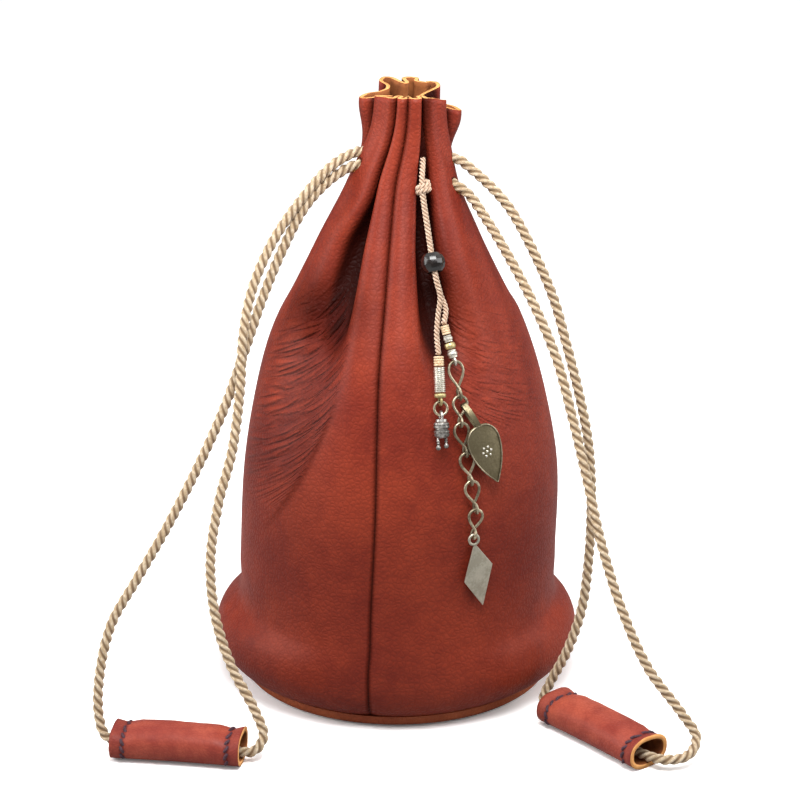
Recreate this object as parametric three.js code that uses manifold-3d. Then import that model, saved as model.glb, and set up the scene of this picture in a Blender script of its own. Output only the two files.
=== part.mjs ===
// Leather drawstring bag with two rope drawcords, leather toggles and a hanging metal charm.
// Millimetres, +Z up. The bag stands on its round base, with its front towards -Y.
// Angles are in degrees round the bag, from the front (0) towards the right (90).
import * as THREE from 'three';
import { mergeVertices } from 'three/addons/utils/BufferGeometryUtils.js';
import Module from 'manifold-3d';

// Leather
const LEATHER = 1.5;
const GAP = 0.3;

// Outline of the wall: height, outer radius at the sides and at the front, and how far the axis leans right.
const OUTLINE = [
  { z: 5.3, radius: 60.6, front: 60.6, lean: 0 },
  { z: 9.5, radius: 67, front: 65.4, lean: 0 },
  { z: 16.5, radius: 71, front: 67.6, lean: 0 },
  { z: 25.5, radius: 69.2, front: 67.6, lean: 0 },
  { z: 33.5, radius: 62.4, front: 66.8, lean: 0.5 },
  { z: 48, radius: 61.8, front: 65, lean: 0.6 },
  { z: 85, radius: 60.9, front: 61.4, lean: 1.8 },
  { z: 115, radius: 55.9, front: 55.9, lean: 1.6 },
  { z: 138, radius: 49.5, front: 49.5, lean: 1.3 },
  { z: 160, radius: 39.7, front: 39.7, lean: 1.7 },
  { z: 180, radius: 30.2, front: 30.2, lean: 1.9 },
  { z: 199, radius: 21.6, front: 21.6, lean: 2.4 },
  { z: 217, radius: 16.2, front: 16.2, lean: 4.7 },
  { z: 230.5, radius: 15, front: 15, lean: 5.3 },
];

// Pleats, going round from the seam: each valley and the ridge after it.
// at is the angle at the shoulder, at the drawcords and at the lip. A deep valley has the height where it starts
// and the radius of its floor at the drawcords and at the lip; a shallow one has its depth on the body and at the neck.
// rise and flare are how far the lip stands up and out there.
const PLEATS = [
  {
    valley: { at: [-9, -8.5, -4], depth: [1.4, 4.2], seam: true, rise: 2.7 },
    ridge: { at: [1, 2, 8.5], rise: 2.7, flare: 0 },
  },
  {
    valley: { at: [19, 24, 21.5], start: 118, floor: 13.7, lip: 10.5, rise: 2.7 },
    ridge: { at: [44, 50, 26.5], rise: 2.7, flare: 0 },
  },
  {
    valley: { at: [58, 62, 41], depth: [0, 0.5], rise: 2 },
    ridge: { at: [72, 74, 56], rise: 0.8, flare: 0 },
  },
  {
    valley: { at: [110, 103, 80], start: 146, floor: 6.6, lip: 8, rise: -2 },
    ridge: { at: [123, 118, 101], rise: -6, flare: 4.6 },
  },
  {
    valley: { at: [136, 133, 122], start: 140, floor: 6.2, lip: 4.5, rise: -1 },
    ridge: { at: [149, 147, 140], rise: 2.8, flare: 1 },
  },
  {
    valley: { at: [163, 162, 159], start: 146, floor: 6.4, lip: 11, rise: 3.4 },
    ridge: { at: [180, 180, 180], rise: 4, flare: 1 },
  },
  {
    valley: { at: [197, 198, 201], start: 140, floor: 6.2, lip: 4.6, rise: 4.2 },
    ridge: { at: [211, 213, 220], rise: 4.8, flare: 1 },
  },
  {
    valley: { at: [224, 228, 239], start: 146, floor: 6.4, lip: 10, rise: 2 },
    ridge: { at: [237, 243, 260], rise: -0.8, flare: 4.4 },
  },
  {
    valley: { at: [250, 258, 282], start: 146, floor: 6.6, lip: 7.5, rise: 0.8 },
    ridge: { at: [276, 288, 305], rise: 2.2, flare: 0 },
  },
  {
    valley: { at: [283, 304, 317.5], depth: [0, 0.5], rise: 2.5 },
    ridge: { at: [290, 320, 330], rise: 2.6, flare: 0 },
  },
  {
    valley: { at: [325, 328.5, 338], start: 122, floor: 13.7, lip: 10.5, rise: 2.7 },
    ridge: { at: [339, 339.5, 347.5], rise: 2.7, flare: 0 },
  },
];
const DEEP_SAMPLES = 4; // points on each flank of a valley
const SHALLOW_SAMPLES = 2;
const DEPTH_RISE = { from: 100, to: 185 }; // heights between which the shallow valleys deepen
const VALLEY_FULL = 202; // height where the deep valleys reach their floors
const LIP = { from: 206, to: 230.5 }; // heights over which the neck opens to the lip
const FOLD = { from: 120, to: 200 }; // heights over which the flanks of the pleats close up
const COLLAR = { from: 176, to: 200 }; // heights over which the pleats turn from the shoulder's angles
const NECK = { from: 202, to: 228 }; // and then to the lip's
const FLANK_OVERHANG = 1.25;
const RIDGE_ROUNDING = 0.9;
const VALLEY_SHARPNESS = 1.4;

// Hollow below the end of the front's left fold: its middle, how far it spreads, and its depth.
const HOLLOW = { angle: 310, z: 132, halfAngle: 20, halfHeight: 17, depth: 3.6 };

// Base pan
const BASE_SEGMENTS = 32;
const BASE = { radius: 60.6, flatRadius: 55, height: 5, thickness: 2.2, bend: 3.4 };

// Drawcords
const CORD_RADIUS = 2;
const CORD_SIDES = 7;
const HOLE_SIDES = 6;
const NECK_RING_RADIUS = 10.6;
const LEFT_RING_Z = 209.7;
const RIGHT_RING_Z = 205;
const BUTT_ANGLE = 4; // half the angle between a cord's two ends, which meet inside the back pleats

// Strands of the drawcords from the neck down to the toggles and back, [x, y, z].
const LEFT_STRANDS = [
  [-7.5, 1, 210], [-14.5, -4, 210.6], [-23.5, -10, 207], [-36.5, -18, 194], [-46.5, -25, 180], [-53.5, -32, 164],
  [-56.5, -38, 148], [-57.5, -44, 131], [-60.5, -51.5, 109], [-65.5, -58, 91], [-68.5, -65, 70], [-66.5, -71, 50],
  [-60.5, -77, 33], [-52.5, -82, 19], [-49, -85.5, 9.5], [-52.5, -88, 4.6],
  [-60.5, -87, 4.1], [-80.5, -84, 4.1], [-100.5, -81, 4.1],
  [-108, -79, 6.5], [-110.5, -77, 14], [-110, -73, 29], [-105.5, -68, 47], [-96.5, -63, 62], [-85.5, -57, 80],
  [-73.5, -49.5, 102], [-63.5, -42, 123], [-56, -35.5, 143], [-49.5, -29, 161], [-42.5, -22.5, 177],
  [-33.5, -16, 193], [-24.5, -10.5, 201.5], [-16.5, -6.5, 205.6], [-10, -7, 207],
];
const RIGHT_STRANDS = [
  [14.5, 1, 205], [22, -4, 208], [29.5, -7, 203.5], [41.5, -11.7, 192], [51.5, -16.5, 175], [59, -20.5, 158],
  [64, -24.5, 141], [69, -28.5, 122], [72.5, -32, 104], [73.7, -36, 84], [73, -40, 62], [70.5, -43.5, 42],
  [65, -45.5, 25], [59, -45, 12], [56.5, -46.8, 6], [61.5, -53.2, 4.1],
  [76.9, -71.9, 4.1], [91, -89.4, 4.1],
  [98.5, -95, 4.6], [107.5, -92, 5], [111, -85, 9], [105.5, -81, 17], [93.5, -75, 32], [83.5, -67.5, 53],
  [76, -60, 76], [71, -52.5, 97], [65.5, -44, 119], [59.5, -36.5, 140], [52, -30, 157],
  [43, -22, 173], [33.5, -14.5, 187.5], [26.5, -9, 196], [19.5, -7, 200], [13.7, -7.5, 201],
];

// Toggles: flattened leather tubes on the floor, from one end's floor point to the other's.
const TOGGLE_WALL = 1.8;
const TOGGLE_SIDES = 16;
const TOGGLE_SQUARENESS = 2.5;
const TOGGLE_ENDS = {
  toggle_left: { from: [-104.5, -80.4], to: [-56.5, -87.6] },
  toggle_right: { from: [60.5, -52], to: [93, -91.9] },
};
// Sections along a toggle: place along its length, width and height.
const TOGGLE_SECTIONS = [
  { at: 0, width: 18.6, height: 12.2 },
  { at: 0.22, width: 17.6, height: 13.2 },
  { at: 0.78, width: 17.6, height: 13.2 },
  { at: 1, width: 18.2, height: 12.6 },
];

// Charm cord: x, height and how far outside the wall's outline each point lies.
const CHARM_CORD_RADIUS = 1.1;
const CHARM_PAIR_HALF = 1.25; // half the distance between the two ends where one hangs in front of the other
const CHARM_LOOP = [
  { x: 9.9, z: 210.8, out: -1.6 },
  { x: 9.8, z: 208.6, out: 0 },
  { x: 9.6, z: 205.6, out: 2.2 },
];
const CHARM_TRUNK = [
  { x: 9.6, z: 201.5, out: 2.6 },
  { x: 10.5, z: 195, out: 3 },
  { x: 11.7, z: 187.5, out: 3.2 },
  { x: 13.6, z: 176.5, out: 4.4 },
  { x: 14.9, z: 170.5, out: 3.8 },
  { x: 16.3, z: 164.8, out: 2.2 },
];
const CHARM_LEFT_END = [
  { x: 15.5, z: 158, out: 1.4 },
  { x: 15, z: 151.5, out: 1.6 },
];
const CHARM_RIGHT_END = [
  { x: 18.2, z: 160, out: 1.8 },
];
const BEAD_SIDES = 10;
const KNOT = { radius: 3.3, bore: 2.65, length: 3.6 };
const ROUND_BEAD = { row: 3, radius: 4.6, bore: 2.9, length: 7, facets: 5, sides: 10 };

// The two beaded ends: the line that each hangs on, and its beads from the top down.
const HANG_OUT = 3.4;
const LEFT_END = { top: { x: 15.6, z: 145 }, bottom: { x: 16.4, z: 127 } };
const LEFT_BEADS = [
  { name: 'charm_whipping_left', length: 3.6, radius: 1.9, endRadius: 1.7, finish: 'thread' },
  { name: 'tube_bead', length: 9.4, radius: 2.1, endRadius: 2, finish: 'silver' },
  { name: 'brass_ring', length: 1.7, radius: 2.2, endRadius: 2, finish: 'brass' },
];
const RIGHT_END = { top: { x: 17.7, z: 155 }, bottom: { x: 21.9, z: 141 } };
const RIGHT_BEADS = [
  { name: 'charm_whipping_right', length: 3.4, radius: 1.6, endRadius: 1.4, finish: 'thread' },
  { name: 'bead_upper', length: 2.7, radius: 1.75, endRadius: 1.5, finish: 'silver' },
  { name: 'bead_brass', length: 2.2, radius: 2.1, endRadius: 1.8, finish: 'brass' },
  { name: 'bead_lower', length: 3.2, radius: 1.9, endRadius: 1.5, finish: 'silver' },
];
const SEAT = 0.3; // how far an eye or a loop is sunk into what it is soldered to
const EYE = { radius: 1.45, wire: 0.5 };
const JUMP_RING = { radius: 2.5, wire: 0.5 };
const RING_SEGMENTS = 12;
const WIRE_SIDES = 5;

// Small drum charm under the jump ring: its profile from the top down, and its two ball-tipped drops.
const DRUM_PROFILE = [
  { radius: 1.9, drop: 0 },
  { radius: 2.1, drop: 1 },
  { radius: 2.9, drop: 1.6 },
  { radius: 2.9, drop: 3.2 },
  { radius: 2.35, drop: 3.8 },
  { radius: 2.9, drop: 4.6 },
  { radius: 2.7, drop: 6.4 },
  { radius: 1.7, drop: 7.2 },
];
const DRUM_DROPS = [{ x: -1.5, length: 4.4 }, { x: 1.5, length: 3.8 }];
const DROP = { wire: 0.55, ball: 0.95, sunk: 1.6, sides: 6 };

// Chain: the joints below its first one, which is at the lower bead's eye.
const LINK_WIRE = 0.55;
const CHAIN_OUT = 2.7;
const CHAIN_JOINTS = [
  { x: 23.5, z: 129.6 },
  { x: 23.7, z: 120 },
  { x: 25.8, z: 109 },
  { x: 27.7, z: 98.4 },
  { x: 29.7, z: 87.6 },
  { x: 28.7, z: 78.2 },
];
// Half outline of a link, from its round top to its narrow eye, which is turned a quarter round.
const LINK_SHAPE = [
  { at: 0, half: 0 },
  { at: 0.06, half: 1.9 },
  { at: 0.2, half: 2.8 },
  { at: 0.36, half: 2.5 },
  { at: 0.6, half: 1 },
  { at: 0.72, half: 1.1 },
  { at: 0.85, half: 1.6 },
  { at: 0.955, half: 1.25 },
  { at: 1, half: 0 },
];
const LINK_TURN = { from: 0.5, to: 0.75 };
const LINK_SEGMENTS = 18;
const JOINT_HALF = LINK_WIRE + GAP / 2; // from a joint to the middle of each wire that meets there

// Pendants
const PLATE = 0.9;
const LEAF = { top: { x: 29.9, z: 119.6 }, tip: { x: 37.5, z: 97.6 }, out: 4.8, half: 6.6, shoulder: 7.5 };
const LEAF_CURVE_STEPS = 5;
const ROSETTE = { ring: 6, pitch: 1.75, hole: 0.5, sides: 5, drop: 10.5 };
const BAIL = { link: 1, at: 0.4, half: 2.2, past: 2.1, halfDepth: 2.4, strip: 0.5, width: 2, sunk: 1, sides: 14 };
const DIAMOND = { loop: 1.9, length: 25.3, half: 6.1, rightAt: 0.4, leftAt: 0.56, below: { x: 32.5, z: 50 } };

const wasm = await Module();
wasm.setup();

const UP = new THREE.Vector3(0, 0, 1);
const rad = THREE.MathUtils.degToRad;
const { lerp, smoothstep } = THREE.MathUtils;

const FINISHES = {
  leather: { color: 0x9a3f2e, roughness: 0.6, metalness: 0 },
  base: { color: 0x8f4a2c, roughness: 0.65, metalness: 0 },
  rope: { color: 0xcdb491, roughness: 0.85, metalness: 0 },
  thread: { color: 0xc9ab8d, roughness: 0.8, metalness: 0 },
  bead: { color: 0x231e1c, roughness: 0.25, metalness: 0 },
  silver: { color: 0xc9c4b8, roughness: 0.35, metalness: 1 },
  brass: { color: 0xa5965a, roughness: 0.4, metalness: 1 },
  oldMetal: { color: 0x7d7662, roughness: 0.45, metalness: 1 },
};

const bag = new THREE.Group();

// Adds a named piece with its own material to the bag, in a frame of its own if it has one.
function addPiece(name, geometry, finish, frame = new THREE.Matrix4()) {
  const mesh = new THREE.Mesh(geometry, new THREE.MeshStandardMaterial(FINISHES[finish]));
  mesh.name = name;
  mesh.applyMatrix4(frame);
  bag.add(mesh);
}

// Closed solid of a geometry, for joining and cutting.
function solidOf(geometry) {
  const bare = geometry.clone();
  bare.deleteAttribute('normal');
  bare.deleteAttribute('uv');
  const merged = mergeVertices(bare, 1e-4);
  return new wasm.Manifold(new wasm.Mesh({
    numProp: 3,
    vertProperties: new Float32Array(merged.attributes.position.array),
    triVerts: new Uint32Array(merged.index.array),
  }));
}

function geometryOf(solid) {
  const mesh = solid.getMesh();
  const geometry = new THREE.BufferGeometry();
  geometry.setAttribute('position', new THREE.BufferAttribute(new Float32Array(mesh.vertProperties), 3));
  geometry.setIndex(new THREE.BufferAttribute(new Uint32Array(mesh.triVerts), 1));
  return geometry;
}

function joined(geometries) {
  return geometryOf(geometries.map(solidOf).reduce((whole, next) => whole.add(next)));
}

// A smooth value from a table, by height, with the slopes of the neighbouring rows.
function fromOutline(key, z) {
  const last = OUTLINE.length - 1;
  const height = THREE.MathUtils.clamp(z, OUTLINE[0].z, OUTLINE[last].z);
  let i = OUTLINE.findIndex((row, n) => n < last && height <= OUTLINE[n + 1].z);
  i = Math.max(i, 0);
  const slope = (n) => {
    const a = OUTLINE[Math.max(n - 1, 0)];
    const b = OUTLINE[Math.min(n + 1, last)];
    return (b[key] - a[key]) / (b.z - a.z);
  };
  const a = OUTLINE[i];
  const b = OUTLINE[i + 1];
  const span = b.z - a.z;
  const t = (height - a.z) / span;
  const t2 = t * t;
  const t3 = t2 * t;
  return a[key] * (2 * t3 - 3 * t2 + 1) + slope(i) * span * (t3 - 2 * t2 + t)
    + b[key] * (3 * t2 - 2 * t3) + slope(i + 1) * span * (t3 - t2);
}

const outerRadius = (z) => fromOutline('radius', z);
const axisLean = (z) => fromOutline('lean', z);
// How much further out the wall lies at an angle than at the sides.
const frontEase = (angle, z) => (fromOutline('front', z) - outerRadius(z)) * Math.cos(angle) ** 2;

// How far the wall sinks into the hollow at an angle and a height.
function hollowDrop(angle, z) {
  const across = (angle - rad(HOLLOW.angle)) / rad(HOLLOW.halfAngle);
  const up = (z - HOLLOW.z) / HOLLOW.halfHeight;
  return HOLLOW.depth * Math.exp(-across * across - up * up);
}

// A point on the front of the wall's outline, or a distance outside it.
function onFront({ x, z }, out) {
  const radius = outerRadius(z) + frontEase(0, z) + out;
  const across = x - axisLean(z);
  return new THREE.Vector3(x, -Math.sqrt(radius * radius - across * across), z);
}

const over = (z, { from, to }) => smoothstep(z, from, to);

// How far a valley lies inside the outline at a height.
function valleyDrop({ depth, start, floor, lip }, z) {
  if (depth) return lerp(...depth, over(z, DEPTH_RISE));
  const bottom = lerp(floor, lip, over(z, LIP));
  return (outerRadius(z) - LEATHER / 2 - bottom) * smoothstep(z, start, VALLEY_FULL);
}

// The angle of a ridge or a valley at a height.
function foldAngle({ at: [shoulder, collar, neck] }, z) {
  return lerp(shoulder, collar, over(z, COLLAR)) + (neck - collar) * over(z, NECK);
}

// Middle line of the wall at one height, as points going round.
function wallLevel(z) {
  const closed = over(z, FOLD);
  const opened = over(z, LIP);
  const crestRadius = outerRadius(z) - LEATHER / 2;
  const points = [];
  const flank = (ridge, valley, wrap, ridgeFirst) => {
    const drop = valleyDrop(valley, z);
    const samples = valley.depth ? SHALLOW_SAMPLES : DEEP_SAMPLES;
    for (let i = 0; i < samples; i += 1) {
      const along = i / samples;
      const t = ridgeFirst ? along : 1 - along; // 0 on the ridge, 1 in the valley
      const wave = closed * Math.sin(2 * Math.PI * t) / (2 * Math.PI);
      let across = t + FLANK_OVERHANG * wave;
      let down = (t - RIDGE_ROUNDING * wave) ** lerp(VALLEY_SHARPNESS, 1, closed);
      if (valley.depth) [across, down] = [t, valley.seam ? 1 - Math.sqrt(1 - t * t) : Math.sin(Math.PI / 2 * t) ** 2];
      const angle = rad(lerp(foldAngle(ridge, z), foldAngle(valley, z) + wrap, across));
      const out = frontEase(angle, z) + opened * (1 - t) * ridge.flare;
      const radius = crestRadius + out - drop * down - hollowDrop(angle, z);
      const height = z + opened * lerp(ridge.rise, valley.rise, t);
      points.push(new THREE.Vector3(axisLean(z) + radius * Math.sin(angle), -radius * Math.cos(angle), height));
    }
  };
  PLEATS.forEach(({ valley, ridge }, i) => {
    const last = i === PLEATS.length - 1;
    flank(ridge, valley, 0, false);
    flank(ridge, PLEATS[last ? 0 : i + 1].valley, last ? 360 : 0, true);
  });
  return points;
}

// A closed wall of even thickness about rows of points that go round an axis; its two ends are open.
function thickWall(rows, thickness, axis) {
  const around = rows[0].length;
  const last = rows.length - 1;
  const positions = [];
  const push = (point, normal, side) => {
    const p = point.clone().addScaledVector(normal, side * thickness / 2);
    positions.push(p.x, p.y, p.z);
  };
  const normals = rows.map((row, j) => row.map((_, k) => {
    const round = row[(k + 1) % around].clone().sub(row[(k + around - 1) % around]);
    const up = rows[Math.min(j + 1, last)][k].clone().sub(rows[Math.max(j - 1, 0)][k]);
    const normal = round.cross(up);
    if (j === 0 || j === last) normal.addScaledVector(axis, -normal.dot(axis));
    return normal.normalize();
  }));
  rows.forEach((row, j) => row.forEach((point, k) => push(point, normals[j][k], 1)));
  rows.forEach((row, j) => row.forEach((point, k) => push(point, normals[j][k], -1)));
  const inner = rows.length * around;
  const index = [];
  const quad = (a, b, c, d) => index.push(a, b, c, a, c, d);
  for (let k = 0; k < around; k += 1) {
    const next = (k + 1) % around;
    for (let j = 0; j < last; j += 1) {
      const low = j * around;
      const high = low + around;
      quad(low + k, low + next, high + next, high + k);
      quad(inner + low + next, inner + low + k, inner + high + k, inner + high + next);
    }
    const top = last * around;
    quad(top + k, top + next, inner + top + next, inner + top + k);
    quad(next, k, inner + k, inner + next);
  }
  const geometry = new THREE.BufferGeometry();
  geometry.setAttribute('position', new THREE.BufferAttribute(new Float32Array(positions), 3));
  geometry.setIndex(index);
  return geometry;
}

// A smooth line whose steps follow its own points instead of equal lengths.
class Route extends THREE.CatmullRomCurve3 {
  getUtoTmapping(u) {
    return u;
  }
}

// A round tube along an open line through the points, one step from each point to the next.
function cordTube(points, radius, sides = CORD_SIDES) {
  const section = new THREE.Shape(ovalPoints(0, 0, radius, radius, sides));
  const extrudePath = new Route(points, false, 'centripetal');
  return new THREE.ExtrudeGeometry(section, { steps: points.length - 1, bevelEnabled: false, extrudePath });
}

// Points of a drawcord inside the neck, between two angles.
function neckArc(fromAngle, toAngle, fromZ, toZ, count) {
  return Array.from({ length: count }, (_, i) => {
    const t = i / (count - 1);
    const angle = rad(lerp(fromAngle, toAngle, t));
    const z = lerp(fromZ, toZ, t);
    const x = axisLean(z) + NECK_RING_RADIUS * Math.sin(angle);
    return new THREE.Vector3(x, -NECK_RING_RADIUS * Math.cos(angle), z);
  });
}

function drawcordRoute(side) {
  const strands = (side < 0 ? LEFT_STRANDS : RIGHT_STRANDS).map((p) => new THREE.Vector3(...p));
  const ringZ = side < 0 ? LEFT_RING_Z : RIGHT_RING_Z;
  const back = 180 - BUTT_ANGLE;
  const start = neckArc(side * back, side * 120, ringZ, ringZ, 2);
  const end = neckArc(side * 36, -side * back, lerp(ringZ, strands.at(-1).z, 0.6), ringZ, 7);
  return [...start, ...strands, ...end];
}

function buildBag() {
  const leftRoute = drawcordRoute(-1);
  const rightRoute = drawcordRoute(1);
  const wall = thickWall(OUTLINE.map((row) => wallLevel(row.z)), LEATHER, UP);
  const holeRadius = (CORD_RADIUS + GAP) / Math.cos(Math.PI / HOLE_SIDES);
  const holes = [leftRoute, rightRoute].map((route) => solidOf(cordTube(route, holeRadius, HOLE_SIDES)));
  const pierced = holes.reduce((whole, hole) => whole.subtract(hole), solidOf(wall));
  addPiece('bag_wall', geometryOf(pierced), 'leather');
  addPiece('drawcord_left', cordTube(leftRoute, CORD_RADIUS), 'rope');
  addPiece('drawcord_right', cordTube(rightRoute, CORD_RADIUS), 'rope');
}

// A round solid about z from its profile, which goes from the bottom up on the outside.
function turned(profile, sides) {
  const points = profile.map(([radius, z]) => new THREE.Vector2(radius, z));
  return new THREE.LatheGeometry(points, sides).rotateX(Math.PI / 2);
}

function buildBase() {
  const { radius, flatRadius, height, thickness, bend } = BASE;
  const inside = radius - thickness;
  const pan = turned([
    [0, 0], [flatRadius, 0], [radius - bend / 3, bend / 3], [radius, bend], [radius, height],
    [inside, height], [inside - bend / 3, thickness + bend / 3], [flatRadius - thickness, thickness],
    [0, thickness],
  ], BASE_SEGMENTS);
  addPiece('bag_base', pan, 'base');
}

// A flattened tube that lies on the floor between two points.
function buildToggle(name, { from, to }) {
  const start = new THREE.Vector3(...from, 0);
  const along = new THREE.Vector3(...to, 0).sub(start);
  const axis = along.clone().normalize();
  const across = UP.clone().cross(axis);
  const rows = TOGGLE_SECTIONS.map(({ at, width, height }) => (
    Array.from({ length: TOGGLE_SIDES }, (_, i) => {
      const angle = 2 * Math.PI * i / TOGGLE_SIDES;
      const round = (value) => Math.sign(value) * Math.abs(value) ** (2 / TOGGLE_SQUARENESS);
      const side = round(Math.cos(angle)) * (width - TOGGLE_WALL) / 2;
      const rise = round(Math.sin(angle)) * (height - TOGGLE_WALL) / 2 + height / 2;
      return start.clone().addScaledVector(along, at).addScaledVector(across, side).addScaledVector(UP, rise);
    })
  ));
  addPiece(name, thickWall(rows, TOGGLE_WALL, axis), 'leather');
}

// The frame of something that hangs from one point towards another: z up the line, y into the bag.
function hangingFrame(top, bottom) {
  const up = top.clone().sub(bottom).normalize();
  const inward = new THREE.Vector3(axisLean(top.z) - top.x, -top.y, 0);
  inward.addScaledVector(up, -inward.dot(up)).normalize();
  const right = inward.clone().cross(up);
  return new THREE.Matrix4().makeBasis(right, inward, up).setPosition(top);
}

// A bead about z, hanging from its top at the given height.
function beadShape({ length, radius, endRadius }, topZ) {
  const shoulder = (radius - endRadius) * 2;
  const bottomZ = topZ - length;
  return turned([
    [0, bottomZ], [endRadius, bottomZ], [radius, bottomZ + shoulder], [radius, topZ - shoulder],
    [endRadius, topZ], [0, topZ],
  ], BEAD_SIDES);
}

// A ring of wire; one that faces the front shows as a circle, one edge on shows as a line.
function wireRing({ radius, wire }, facing, z) {
  const ring = new THREE.TorusGeometry(radius, wire, WIRE_SIDES, RING_SEGMENTS);
  return (facing ? ring.rotateX(Math.PI / 2) : ring.rotateY(Math.PI / 2)).translate(0, 0, z);
}

// The beads of one charm end, the last one with an eye. Returns their frame and the eye's lowest point.
function buildBeads({ top, bottom }, beads) {
  const frame = hangingFrame(onFront(top, HANG_OUT), onFront(bottom, HANG_OUT));
  let topZ = 0;
  beads.forEach((bead, i) => {
    const shape = beadShape(bead, topZ);
    const bottomZ = topZ - bead.length;
    const eye = wireRing(EYE, false, bottomZ + SEAT - EYE.radius);
    addPiece(bead.name, i === beads.length - 1 ? joined([shape, eye]) : shape, bead.finish, frame);
    topZ = bottomZ - GAP;
  });
  return { frame, eyeZ: topZ + GAP + SEAT - 2 * EYE.radius };
}

function buildCharmCords() {
  const endPoint = ({ top, bottom }) => (
    new THREE.Vector3(0, 0, 2 * GAP).applyMatrix4(hangingFrame(onFront(top, HANG_OUT), onFront(bottom, HANG_OUT)))
  );
  const line = (rows, shift) => rows.map(({ x, z, out }) => onFront({ x, z }, out + shift));
  const left = [
    ...line(CHARM_LOOP, 0), ...line(CHARM_TRUNK, CHARM_PAIR_HALF), ...line(CHARM_LEFT_END, 0), endPoint(LEFT_END),
  ];
  const right = [...line(CHARM_TRUNK, -CHARM_PAIR_HALF), ...line(CHARM_RIGHT_END, 0), endPoint(RIGHT_END)];
  addPiece('charm_cord_left', cordTube(left, CHARM_CORD_RADIUS), 'rope');
  addPiece('charm_cord_right', cordTube(right, CHARM_CORD_RADIUS), 'rope');
  const trunk = line(CHARM_TRUNK, 0);
  const knotHalf = KNOT.length / 2;
  addPiece('charm_knot', turned([
    [KNOT.bore, -knotHalf], [KNOT.radius, -knotHalf / 2], [KNOT.radius, knotHalf / 2], [KNOT.bore, knotHalf],
    [KNOT.bore, -knotHalf],
  ], BEAD_SIDES), 'thread', hangingFrame(trunk[0], trunk[1]));
  const { row, radius, bore, length, facets, sides } = ROUND_BEAD;
  const tilt = Math.asin(length / 2 / radius);
  const outside = Array.from({ length: facets + 1 }, (_, i) => {
    const angle = lerp(-tilt, tilt, i / facets);
    return [radius * Math.cos(angle), radius * Math.sin(angle)];
  });
  const bead = turned([[bore, -length / 2], ...outside, [bore, length / 2], [bore, -length / 2]], sides);
  const frame = hangingFrame(trunk[row - 1], trunk[row + 1]).setPosition(trunk[row]);
  addPiece('charm_bead', bead, 'bead', frame);
}

function buildDrum({ frame, eyeZ }) {
  const ringTop = eyeZ + EYE.wire + JUMP_RING.wire + GAP;
  const ringBottom = ringTop - 2 * JUMP_RING.radius;
  addPiece('jump_ring', wireRing(JUMP_RING, true, ringTop - JUMP_RING.radius), 'oldMetal', frame);
  const eyeTop = ringBottom + EYE.wire + JUMP_RING.wire + GAP;
  const drumTop = eyeTop - 2 * EYE.radius + SEAT;
  const rows = DRUM_PROFILE.map(({ radius, drop }) => [radius, drumTop - drop]).reverse();
  const drum = turned([[0, rows[0][1]], ...rows, [0, drumTop]], BEAD_SIDES);
  const drops = DRUM_DROPS.map(({ x, length }) => {
    const top = rows[0][1] + DROP.sunk;
    const tip = rows[0][1] - length;
    return turned([
      [0, tip], [DROP.ball, tip + DROP.ball], [DROP.wire, tip + 2 * DROP.ball], [DROP.wire, top], [0, top],
    ], DROP.sides).translate(x, 0, 0);
  });
  addPiece('drum_charm', joined([drum, wireRing(EYE, false, eyeTop - EYE.radius), ...drops]), 'oldMetal', frame);
}

// A place on a link's wire, at a share of its length and a distance to one side.
function onLink(at, half, length) {
  const turn = Math.PI / 2 * smoothstep(at, LINK_TURN.from, LINK_TURN.to);
  return new THREE.Vector3(half * Math.cos(turn), half * Math.sin(turn), JOINT_HALF - at * length);
}

// A wire link between two joints of the chain.
function linkShape(length) {
  const side = (sign) => LINK_SHAPE.slice(1, -1).map(({ at, half }) => onLink(at, sign * half, length));
  const top = new THREE.Vector3(0, 0, JOINT_HALF);
  const bottom = new THREE.Vector3(0, 0, JOINT_HALF - length);
  const loop = new THREE.CatmullRomCurve3([top, ...side(1), bottom, ...side(-1).reverse()], true);
  return new THREE.TubeGeometry(loop, LINK_SEGMENTS, LINK_WIRE, WIRE_SIDES, true);
}

function buildChain({ frame, eyeZ }) {
  const firstJoint = new THREE.Vector3(0, 0, eyeZ + JOINT_HALF).applyMatrix4(frame);
  const joints = [firstJoint, ...CHAIN_JOINTS.map((joint) => onFront(joint, CHAIN_OUT))];
  const links = joints.slice(1).map((joint, i) => {
    const linkFrame = hangingFrame(joints[i], joint);
    const length = joints[i].distanceTo(joint) + 2 * JOINT_HALF;
    addPiece(`chain_link_${i + 1}`, linkShape(length), 'oldMetal', linkFrame);
    return { frame: linkFrame, length };
  });
  buildLeaf(links[BAIL.link]);
  buildDiamond(joints.at(-1));
}

// Corners of a many-sided oval.
function ovalPoints(x, y, halfWidth, halfHeight, sides) {
  return Array.from({ length: sides }, (_, i) => {
    const angle = 2 * Math.PI * i / sides;
    return new THREE.Vector2(x + halfWidth * Math.cos(angle), y + halfHeight * Math.sin(angle));
  });
}

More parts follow.
